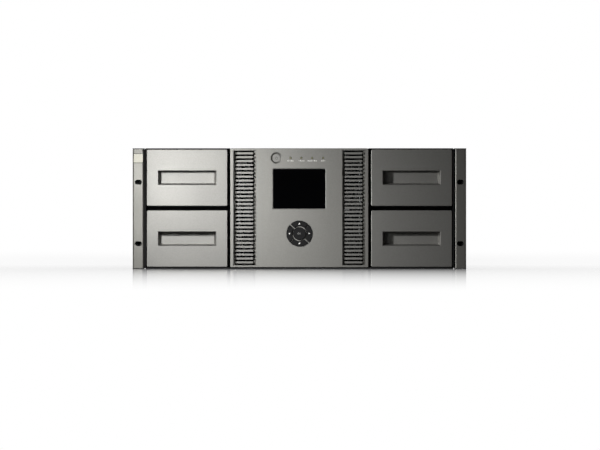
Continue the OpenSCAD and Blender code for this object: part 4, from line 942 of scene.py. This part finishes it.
@dataclass
class RackEars:
    """The bare plate on the left ear, the dark edge strips and the nuts behind the slots."""

    width: float = 13.0 * MM
    height: float = 12.4 * MM
    drop: float = 13.2 * MM
    margin: float = 1.6 * MM
    # Corner radius, and front and back measured from the ear's cover, of each layer.
    plate_layer: Triple = (0.8 * MM, -0.25 * MM, 0.2 * MM)
    field_layer: Triple = (0.5 * MM, -0.4 * MM, -0.2 * MM)
    rim_layer: Triple = (1.4 * MM, -0.1 * MM, 0.2 * MM)
    flange_t: float = 2.0 * MM
    strip_top: float = 1.1 * MM
    strip_back: float = 0.5 * MM
    hair: float = 0.05 * MM
    nut_bore: float = 2.6 * MM
    nut_cap: float = 4.2 * MM
    nut_barrel: float = 4.6 * MM
    nut_plate: float = 6.6 * MM
    # Where the nut's plate, barrel and cap end, measured from the flange.
    nut_ends: Triple = (0.9 * MM, 6.5 * MM, 7.5 * MM)
    nut_steps: int = 32

    def build(self) -> None:
        """Adds the plate, the strips and the nuts."""
        self._plate()
        for side in ("left", "right"):
            self._strip(side)
        self._nuts()

    def _plate(self) -> None:
        """Adds the plate with its raised field, and the dark rim round it."""
        low, high = corners("ear_cover_left")
        centre = ((low.x + high.x) / 2, high.z - self.drop)

        def layer(bm: Bmesh, growth: float, shape: Triple) -> None:
            radius, front, back = shape
            size = (self.width + growth, self.height + growth)
            slab(bm, size, radius, centre, (low.y + front, low.y + back))

        def plate(bm: Bmesh) -> None:
            layer(bm, 0.0, self.plate_layer)
            layer(bm, -self.margin, self.field_layer)

        def rim(bm: Bmesh) -> None:
            layer(bm, self.margin, self.rim_layer)

        finish_piece(from_bmesh("ear_plate", plate), BADGE_PAINT, "chassis")
        finish_piece(from_bmesh("ear_plate_rim", rim), SOCKET_NYLON, "chassis")

    def _strip(self, side: str) -> None:
        """Adds the dark strip along the inner edge, the top and the foot of one ear."""
        low, high = corners("ear_cover_" + side)
        frame_low, frame_high = corners("front_frame")
        way = -1 if side == "left" else 1
        outer = low.x if way < 0 else high.x
        edge = (high.x if way < 0 else low.x) - way * self.hair
        inner = (frame_low.x if way < 0 else frame_high.x) + way * self.hair
        top, over = high.z + self.strip_top, high.z + self.hair
        foot = low.z - self.hair
        outline = [
            (inner, self.hair), (outer, self.hair), (outer, foot), (edge, foot),
            (edge, over), (outer, over), (outer, top), (inner, top),
        ]

        def fill(bm: Bmesh) -> None:
            prism(bm, outline, (low.y + self.strip_back, high.y - self.hair))

        finish_piece(from_bmesh("ear_strip_" + side, fill), BLACK_FRAME, "chassis")

    def _nuts(self) -> None:
        """Adds a closed clip nut behind each slot."""
        slots = next(m for m in frame["record"]["mounts"] if m["name"] == "rack_slots")
        middle = Vector(slots["pos_m"])
        half_x, half_z = (slots["dims"][f"spacing_{k}_mm"] * MM / 2 for k in "xy")
        back = corners("ear_brackets")[0].y + self.flange_t + self.hair
        plate, barrel, cap = (back + end for end in self.nut_ends)
        angles = [2 * math.pi * i / self.nut_steps for i in range(self.nut_steps)]

        def fill(bm: Bmesh) -> None:
            for sx in (-1, 1):
                for sz in (-1, 1):
                    centre = (middle.x + sx * half_x, middle.z + sz * half_z)
                    for radius, depth in (
                        (self.nut_plate, (back, plate)),
                        (self.nut_barrel, (plate - self.hair, barrel)),
                    ):
                        ring_prism(bm, centre, (self.nut_bore, radius), depth, steps=self.nut_steps)
                    circle = [polar(centre, self.nut_cap, a) for a in angles]
                    prism(bm, circle, (barrel - self.hair, cap))

        finish_piece(from_bmesh("ear_clip_nuts", fill), BLACK_OXIDE, "chassis")


# ---------------------------------------------------------------- fasteners


@dataclass
class Fasteners:
    """Pan-head screws with a cross recess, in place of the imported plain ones."""

    node: str = "case_screws"
    head_r: float = 3.0 * MM
    head_h: float = 1.6 * MM
    sides: int = 24
    # A screw whose head is no deeper than this along y sits in the rear face.
    rear_depth: float = 4.0 * MM
    # The cross: how far its arms reach and half their width, as shares of the head's radius,
    # how deep it is as a share of the head's height, and how much it narrows to its floor.
    cross_arm: float = 0.42
    cross_half: float = 0.12
    cross_depth: float = 0.8
    cross_taper: float = 0.8
    # The head's outline from its foot to its flat top, as shares of its radius and height.
    profile: Sequence[Pair] = ((1.0, -1.0), (1.0, -0.55), (0.86, -0.2), (0.6, -0.04), (0.5, 0.0))

    def build(self) -> None:
        """Puts a detailed screw where each packed one is."""
        places = []
        for low, high in islands(self.node):
            centre, size = (low + high) / 2, high - low
            if size.y < self.rear_depth:
                places.append((Vector((centre.x, high.y, centre.z)), Vector((0, 1, 0))))
            elif size.z > size.x:
                places.append((Vector((centre.x, centre.y, high.z)), Vector((0, 0, 1))))
            else:
                way = 1 if centre.x > 0 else -1
                x = high.x if way > 0 else low.x
                places.append((Vector((x, centre.y, centre.z)), Vector((way, 0, 0))))
        piece = scatter("case_screw_set", self._screw(), places, SCREW_STEEL)
        finish_piece(piece, SCREW_STEEL, "chassis", [self.node])

    def _screw(self) -> bpy.types.Object:
        """Models one screw with the top of its head at the origin, looking along +Z."""
        angles = [2 * math.pi * i / self.sides for i in range(self.sides)]

        def fill(bm: Bmesh) -> None:
            rings = []
            for share, height in self.profile:
                flat = [polar((0.0, 0.0), share * self.head_r, a) for a in angles]
                rings.append([bm.verts.new((x, y, height * self.head_h)) for x, y in flat])
            for lower, upper in zip(rings, rings[1:]):
                bridge(bm, lower, upper)
            bm.faces.new(list(reversed(rings[0])))
            self._recess(bm, rings[-1])

        return from_bmesh("screw_shape", fill)

    def _recess(self, bm: Bmesh, top: Loop) -> None:
        """Sinks a cross into the flat top of a head.

        Args:
            bm: the bmesh.
            top: the ring of corners round the flat.
        """
        arm, half = self.cross_arm * self.head_r, self.cross_half * self.head_r
        depth, taper = self.cross_depth * self.head_h, self.cross_taper
        cross = []
        for quarter in range(4):
            c, s = math.cos(math.pi / 2 * quarter), math.sin(math.pi / 2 * quarter)
            for x, y in ((arm, -half), (arm, half), (half, half)):
                cross.append((x * c - y * s, x * s + y * c))
        mouth = [bm.verts.new((x, y, 0.0)) for x, y in cross]
        floor = [bm.verts.new((taper * x, taper * y, -depth)) for x, y in cross]
        bridge(bm, mouth, floor)
        bm.faces.new(floor)
        per_corner = len(top) / len(cross)
        for i, corner in enumerate(mouth):
            first, last = round(i * per_corner), round((i + 1) * per_corner)
            between = [top[k % len(top)] for k in range(first, last + 1)]
            bm.faces.new([corner] + between + [mouth[(i + 1) % len(mouth)]])


# ---------------------------------------------------------------- magazines


@dataclass
class Magazines:
    """Paper labels of the cartridges in the magazines."""

    label_w: float = 76.0 * MM
    label_h: float = 15.0 * MM
    corner_r: float = 1.0 * MM
    sunk: float = 0.7 * MM
    paper: Pair = (0.02 * MM, 0.25 * MM)

    def build(self) -> None:
        """Adds a label to the aisle end of every cartridge."""
        for level in ("lower", "upper"):
            for side in ("left", "right"):
                self._labels(level, side)

    def _labels(self, level: str, side: str) -> None:
        """Adds the labels of one magazine."""
        way = 1 if side == "left" else -1
        places = []
        for low, high in islands(f"cartridges_{level}_{side}"):
            centre = (low + high) / 2
            centre.x = (high.x if way > 0 else low.x) - way * self.sunk
            places.append((centre, Vector((way, 0, 0))))
        piece = scatter(f"cartridge_labels_{level}_{side}", self._label(), places, LABEL_PAPER)
        finish_piece(piece, LABEL_PAPER, f"magazine_{level}_{side}")

    def _label(self) -> bpy.types.Object:
        """Models one label lying at the origin and looking along +Z."""

        def fill(bm: Bmesh) -> None:
            outline = rounded_outline(self.label_h, self.label_w, self.corner_r)
            prism(bm, outline, self.paper, Axis.Z)

        return from_bmesh("label_shape", fill)


# ---------------------------------------------------------------- robot


@dataclass
class Robot:
    """The lift's threaded screws with their toothed pulleys."""

    pitch: float = 4.0 * MM
    groove: float = 0.45 * MM
    slope: float = 0.12
    shaft_r: float = 3.0 * MM
    sides: int = 28
    turn_steps: int = 10
    pulley_h: float = 2.7 * MM
    teeth: int = 18
    tooth_h: float = 0.5 * MM

    def build(self) -> None:
        """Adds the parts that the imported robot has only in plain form."""
        for side in ("left", "right"):
            self._screw(f"lift_screw_{side}", f"lift_thread_{side}")

    def _screw(self, node: str, name: str) -> None:
        """Gives a lift screw its thread between its bearings.

        Args:
            node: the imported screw.
            name: the name of the new one.
        """
        low, high = corners(node)
        centre = tuple((low + high) / 2)[:2]
        foot = high.z - self.pulley_h
        rise = self.pitch / self.turn_steps
        rows = int((foot - low.z) / rise)

        def fill(bm: Bmesh) -> None:
            rings = []
            for row in range(rows + 1):
                near_end = min(row, rows - row) < self.turn_steps
                ring = []
                for i in range(self.sides):
                    phase = (row / self.turn_steps - i / self.sides) % 1.0
                    r = self.shaft_r - (0.0 if near_end else self.groove * self._profile(phase))
                    x, y = polar(centre, r, 2 * math.pi * i / self.sides)
                    ring.append(bm.verts.new((x, y, low.z + row * rise)))
                rings.append(ring)
            for lower, upper in zip(rings, rings[1:]):
                bridge(bm, lower, upper)
            bm.faces.new(list(reversed(rings[0])))
            bm.faces.new(rings[-1])
            self._pulley(bm, centre, (high.x - low.x) / 2, (foot, high.z))

        finish_piece(from_bmesh(name, fill), GROUND_STEEL, node, [node])

    def _profile(self, phase: float) -> float:
        """Gives how deep the thread is cut at a place along its lead.

        Args:
            phase: from 0 to 1 along one turn.

        Returns:
            From 0, the crest, to 1, the root.
        """
        if phase < 0.5 - self.slope:
            return 0.0
        if phase < 0.5:
            return (phase - 0.5 + self.slope) / self.slope
        if phase < 1 - self.slope:
            return 1.0
        return (1 - phase) / self.slope

    def _pulley(self, bm: Bmesh, centre: Pair, radius: float, span: Pair) -> None:
        """Adds the toothed pulley on top of a screw.

        Args:
            bm: the bmesh.
            centre: a point on its axis.
            radius: its outer radius.
            span: the heights of its foot and its top.
        """
        outline = []
        for i in range(4 * self.teeth):
            r = radius if i % 4 in (0, 1) else radius - self.tooth_h
            outline.append(polar(centre, r, 2 * math.pi * (i + 0.5) / (4 * self.teeth)))
        prism(bm, outline, span, Axis.Z)


# ---------------------------------------------------------------- rear


@dataclass
class Rear:
    """Contacts in the sockets, the inlets' pins and the seal between the drives.

    inlet, jacks and the rises are measured from the lowest corner of the unit, port_x from the
    library's middle, and depths inwards from the rear face.
    """

    inlet: Pair = (100.0 * MM, 21.5 * MM)
    pin_size: Pair = (1.9 * MM, 3.8 * MM)
    pin_depths: Pair = (16.0 * MM, 1.0 * MM)
    pin_r: float = 0.3 * MM
    pins: Sequence[Pair] = ((-5.5 * MM, -1.6 * MM), (0.0, 1.9 * MM), (5.5 * MM, -1.6 * MM))
    port_x: float = 37.0 * MM
    port_rise: float = 19.0 * MM
    port_size: Pair = (32.0 * MM, 12.0 * MM)
    port_r: float = 1.0 * MM
    port_depths: Pair = (9.0 * MM, 4.0 * MM)
    port_rows: Pair = (-2.2 * MM, 2.2 * MM)
    port_columns: int = 13
    port_pitch: float = 2.1 * MM
    contact_size: Pair = (1.0 * MM, 2.4 * MM)
    contact_r: float = 0.2 * MM
    contact_t: float = 0.4 * MM
    jacks: Pair = (28.0 * MM, 47.0 * MM)
    jack_rise: float = 22.5 * MM
    jack_depths: Pair = (11.0 * MM, 6.0 * MM)
    jack_contacts: int = 8
    jack_pitch: float = 1.1 * MM
    jack_contact_size: Pair = (0.5 * MM, 3.0 * MM)
    jack_contact_r: float = 0.1 * MM
    seal_depths: Pair = (12.0 * MM, 3.0 * MM)
    seal_share: float = 0.7

    def build(self) -> None:
        """Adds the small parts of the rear sockets."""
        for level in ("lower", "upper"):
            self._inlet_pins(level)
            self._data_ports(level)
        self._network_contacts()
        self._seal()

    def _span(self, depths: Pair) -> Pair:
        """Turns two depths behind the rear panel's outer face into their y, in metres."""
        face = corners("rear_panel")[1].y
        return face - depths[0], face - depths[1]

    def _inlet_pins(self, level: str) -> None:
        """Adds the three pins of a power inlet."""
        unit = f"power_supply_{level}"
        low, _ = corners(unit)
        x, z = low.x + self.inlet[0], low.z + self.inlet[1]

        def fill(bm: Bmesh) -> None:
            for dx, dz in self.pins:
                centre = (x + dx, z + dz)
                slab(bm, self.pin_size, self.pin_r, centre, self._span(self.pin_depths))

        finish_piece(from_bmesh(f"inlet_pins_{level}", fill), SCREW_STEEL, unit)

    def _data_ports(self, level: str) -> None:
        """Adds a socket body with its rows of contacts in a drive's port opening."""
        unit = f"drive_sled_{level}"
        z = corners(unit)[0].z + self.port_rise
        depth = self._span(self.port_depths)
        proud = (depth[1], depth[1] + self.contact_t)

        def shell(bm: Bmesh) -> None:
            slab(bm, self.port_size, self.port_r, (self.port_x, z), depth)

        def contacts(bm: Bmesh) -> None:
            for row in self.port_rows:
                for i in range(self.port_columns):
                    x = self.port_x + (i - (self.port_columns - 1) / 2) * self.port_pitch
                    slab(bm, self.contact_size, self.contact_r, (x, z + row), proud)

        finish_piece(from_bmesh(f"data_port_{level}", shell), SOCKET_NYLON, unit)
        finish_piece(from_bmesh(f"data_contacts_{level}", contacts), GOLD_CONTACT, unit)

    def _network_contacts(self) -> None:
        """Adds the contacts in each network socket of the controller module."""
        low, _ = corners("controller_module")
        depth, z = self._span(self.jack_depths), low.z + self.jack_rise

        def fill(bm: Bmesh) -> None:
            for jack in self.jacks:
                for i in range(self.jack_contacts):
                    x = low.x + jack + (i - (self.jack_contacts - 1) / 2) * self.jack_pitch
                    slab(bm, self.jack_contact_size, self.jack_contact_r, (x, z), depth)

        finish_piece(from_bmesh("network_contacts", fill), GOLD_CONTACT, "chassis")

    def _seal(self) -> None:
        """Adds the dark foam seal on the slit between the two drive sleds."""
        low, high = corners("drive_sled_lower")
        top = corners("drive_sled_upper")[0].z
        height = self.seal_share * (top - high.z)
        centre = ((low.x + high.x) / 2, (top + high.z) / 2)

        def fill(bm: Bmesh) -> None:
            size = (high.x - low.x, height)
            slab(bm, size, 0.2 * height, centre, self._span(self.seal_depths))

        finish_piece(from_bmesh("drive_seal", fill), BELT_NEOPRENE, "chassis")


# ---------------------------------------------------------------- studio


@dataclass(frozen=True)
class Lamp:
    """A round area light.

    place and target are measured from the foot of the front face's middle, and size is its
    width, all in metres. power is in watts.
    """

    name: str
    place: Triple
    target: Triple
    size: float
    power: float


@dataclass
class Studio:
    """A pale floor, a small lamp close to the left front, a weak far one and the camera.

    fade is how far from the library the sheen ends, in metres, and fade_power its curve. sheen
    and rear_sheen are its strength in front of the library and sheen_depth further back.
    front_dim, ambient and behind are how bright the room in front is in metal, how bright it
    is as a light, and how bright the room behind is as a light. spread is in degrees.
    """

    camera_far: float = 4.0
    camera_right: float = 0.03
    lens: float = 166.3
    shift: float = -0.0275
    aside: float = 0.0011
    floor_half: float = 8.0
    floor_colour: str = "#f6f6f7"
    floor_bounce: str = "#606062"
    floor_roughness: float = 0.08
    floor_gloss: float = 0.8
    fade: float = 1.1
    fade_power: float = 1.7
    front_dim: float = 0.03
    ambient: float = 0.02
    behind: float = 0.9
    # The y of a ray's direction between which the room brightens, as a light and in metal.
    lit_band: Pair = (-0.1, 0.25)
    mirror_band: Pair = (-0.12, 0.2)
    spread: float = 88.0
    sheen: float = 0.97
    rear_sheen: float = 0.4
    sheen_depth: float = 0.3
    # The far lamp reaches the fronts of magazines that are drawn out.
    lamps: Sequence[Lamp] = (
        Lamp("key_light", (-0.3, -0.405, 0.21), (0.05, 0.0, -0.03), size=0.05, power=0.86),
        Lamp("far_light", (-0.35, -1.0, 0.25), (0.0, 0.0, 0.0), size=0.08, power=0.11),
    )

    def build(self) -> None:
        """Adds the floor, the world, the lamps and the camera."""
        floor = self._floor()
        self._world()
        for lamp in self.lamps:
            self._light(lamp, floor)
        self._camera()

    def _seen(self, tree: Tree) -> Socket:
        """Adds a mask that is 1 for what the camera sees, straight or in metal or glass."""
        path = add_node(tree, "ShaderNodeLightPath").outputs
        mask = path["Is Camera Ray"]
        for other in ("Is Glossy Ray", "Is Transmission Ray"):
            inputs = {0: mask, 1: path[other]}
            mask = add_node(tree, "ShaderNodeMath", inputs, operation="MAXIMUM").outputs["Value"]
        return mask

    def _nearness(self, tree: Tree, place: Socket) -> Socket:
        """Adds a mask that falls from 1 beside the library to 0 at the fade distance.

        Args:
            tree: the floor's node tree.
            place: the Object coordinates.

        Returns:
            The mask.
        """
        low, high = (Vector(corner) for corner in CAD_BOX)
        centre, half = (low + high) / 2, (high - low) / 2
        away = place
        for operation, other in (
            ("SUBTRACT", {1: (centre.x, centre.y, 0)}),
            ("ABSOLUTE", {}),
            ("SUBTRACT", {1: (half.x, half.y, 0)}),
            ("MAXIMUM", {1: (0, 0, 0)}),
        ):
            inputs = {0: away, **other}
            away = add_node(tree, "ShaderNodeVectorMath", inputs, operation=operation).outputs[0]
        length = add_node(tree, "ShaderNodeVectorMath", {0: away}, operation="LENGTH")
        inputs = dict(zip(RANGE, (length.outputs["Value"], 0.0, self.fade, 1.0, 0.0)))
        near = add_node(tree, "ShaderNodeMapRange", inputs).outputs["Result"]
        inputs = {0: near, 1: self.fade_power}
        return add_node(tree, "ShaderNodeMath", inputs, operation="POWER").outputs["Value"]

    def _floor(self) -> bpy.types.Object:
        """Adds a pale floor with a soft sheen that fades to plain white away from the library.

        Returns:
            The floor.
        """
        front, rear = CAD_BOX[0][1], CAD_BOX[1][1]

        def fill(bm: Bmesh) -> None:
            flat = ((-1, -1), (1, -1), (1, 1), (-1, 1))
            half = self.floor_half
            bm.faces.new([bm.verts.new((x * half, y * half, 0)) for x, y in flat])

        floor = from_bmesh("floor", fill)
        material = bpy.data.materials.new("Acrylic floor, white")
        material.use_nodes = True
        tree = material.node_tree
        tree.nodes.remove(tree.nodes["Principled BSDF"])
        place = add_node(tree, "ShaderNodeTexCoord").outputs["Object"]
        depth = add_node(tree, "ShaderNodeSeparateXYZ", {"Vector": place}).outputs["Y"]
        glossy = add_node(tree, "ShaderNodeLightPath").outputs["Is Glossy Ray"]
        matt = add_node(tree, "ShaderNodeBsdfDiffuse", {"Color": linear(self.floor_colour)})
        inputs = {"Color": (1, 1, 1, 1), "Roughness": self.floor_roughness}
        mirror = add_node(tree, "ShaderNodeBsdfGlossy", inputs)
        inputs = {0: self.floor_gloss, 1: matt.outputs["BSDF"], 2: mirror.outputs["BSDF"]}
        gloss = add_node(tree, "ShaderNodeMixShader", inputs)
        # In metal the floor behind the library is white, and the floor in front of it dim.
        inputs = dict(zip(RANGE, (depth, front, rear, self.front_dim, 1.0)))
        mirrored = add_node(tree, "ShaderNodeMapRange", inputs).outputs["Result"]
        inputs = {0: glossy, 2: 1.0, 3: mirrored}
        strength = add_node(tree, "ShaderNodeMix", inputs, data_type="FLOAT").outputs[0]
        inputs = {"Color": (1, 1, 1, 1), "Strength": strength}
        white = add_node(tree, "ShaderNodeEmission", inputs)
        # The sheen is strongest in front of the library and weak beside and behind it.
        ends = (front, front + self.sheen_depth, self.sheen, self.rear_sheen)
        level = add_node(tree, "ShaderNodeMapRange", dict(zip(RANGE, (depth, *ends))))
        direct = add_node(tree, "ShaderNodeMath", {0: 1.0, 1: glossy}, operation="SUBTRACT")
        shown = self._nearness(tree, place)
        for factor in (level.outputs["Result"], direct.outputs["Value"]):
            inputs = {0: shown, 1: factor}
            shown = add_node(tree, "ShaderNodeMath", inputs, operation="MULTIPLY").outputs[0]
        inputs = {0: shown, 1: white.outputs["Emission"], 2: gloss.outputs["Shader"]}
        seen = add_node(tree, "ShaderNodeMixShader", inputs)
        # What the floor sends back to the library as light is weaker than what the eye sees.
        dull = add_node(tree, "ShaderNodeBsdfDiffuse", {"Color": linear(self.floor_bounce)})
        inputs = {0: self._seen(tree), 1: dull.outputs["BSDF"], 2: seen.outputs["Shader"]}
        final = add_node(tree, "ShaderNodeMixShader", inputs).outputs["Shader"]
        tree.links.new(final, tree.nodes["Material Output"].inputs["Surface"])
        floor.data.materials.append(material)
        return floor

    def _world(self) -> None:
        """Makes the world white to the eye, and dim in front of the library as a light."""
        world = bpy.data.worlds.new("Studio")
        bpy.context.scene.world = world
        world.use_nodes = True
        tree = world.node_tree
        path = add_node(tree, "ShaderNodeLightPath").outputs
        way = add_node(tree, "ShaderNodeTexCoord").outputs["Generated"]
        depth = add_node(tree, "ShaderNodeSeparateXYZ", {"Vector": way}).outputs["Y"]
        ramps = []
        # First as a light, dim in front and bright behind, and then as metal mirrors it.
        for band, dim, bright in (
            (self.lit_band, self.ambient, self.behind),
            (self.mirror_band, self.front_dim, 1.0),
        ):
            inputs = dict(zip(RANGE, (depth, *band, dim, bright)))
            ramp = add_node(tree, "ShaderNodeMapRange", inputs, interpolation_type="SMOOTHSTEP")
            ramps.append(ramp.outputs["Result"])
        inputs = {0: path["Is Glossy Ray"], 2: ramps[0], 3: ramps[1]}
        unseen = add_node(tree, "ShaderNodeMix", inputs, data_type="FLOAT").outputs[0]
        inputs = {0: path["Is Camera Ray"], 1: path["Is Transmission Ray"]}
        plain = add_node(tree, "ShaderNodeMath", inputs, operation="MAXIMUM").outputs["Value"]
        inputs = {0: plain, 2: unseen, 3: 1.0}
        strength = add_node(tree, "ShaderNodeMix", inputs, data_type="FLOAT").outputs[0]
        back = tree.nodes["Background"].inputs
        tree.links.new(strength, back["Strength"])
        back["Color"].default_value = (1, 1, 1, 1)

    def _light(self, lamp: Lamp, floor: bpy.types.Object) -> None:
        """Adds one lamp, which leaves the floor unlit."""
        data = bpy.data.lights.new(lamp.name, "AREA")
        data.shape = "DISK"
        data.size = lamp.size
        data.energy = lamp.power
        data.spread = math.radians(self.spread)
        front = Vector((0.0, CAD_BOX[0][1], 0.0))
        place, target = front + Vector(lamp.place), front + Vector(lamp.target)
        light = add_object(data)
        light.location = place
        light.rotation_euler = (target - place).to_track_quat("-Z", "Y").to_euler()
        # The floor would mirror the lamp as a glaring disk, so it is lit by the room alone.
        others = bpy.data.collections.new(lamp.name + "_receivers")
        others.objects.link(floor)
        others.collection_objects[0].light_linking.link_state = "EXCLUDE"
        light.light_linking.receiver_collection = others

    def _camera(self) -> None:
        """Adds the camera, far off and level with the middle of the front."""
        front, middle = CAD_BOX[0][1], CAD_BOX[1][2] / 2
        data = bpy.data.cameras.new("camera")
        data.lens = self.lens
        data.sensor_width = 36.0
        data.clip_end = 50.0
        data.shift_x = self.aside
        data.shift_y = self.shift
        camera = add_object(data)
        camera.location = (self.camera_right, front - self.camera_far, middle)
        aim = Vector((0.0, front, middle)) - camera.location
        camera.rotation_euler = aim.to_track_quat("-Z", "Y").to_euler()
        bpy.context.scene.camera = camera
        bpy.context.scene.view_settings.view_transform = "Standard"


# ---------------------------------------------------------------- everything


def main() -> None:
    """Dresses the library, adds its details and sets up the studio."""
    logging.basicConfig(level=logging.INFO, format="%(message)s")
    dress_nodes()
    for part in (Studio, ControlPanel, RackEars, Fasteners, Magazines, Robot, Rear):
        part().build()


if __name__ == "__main__":
    main()
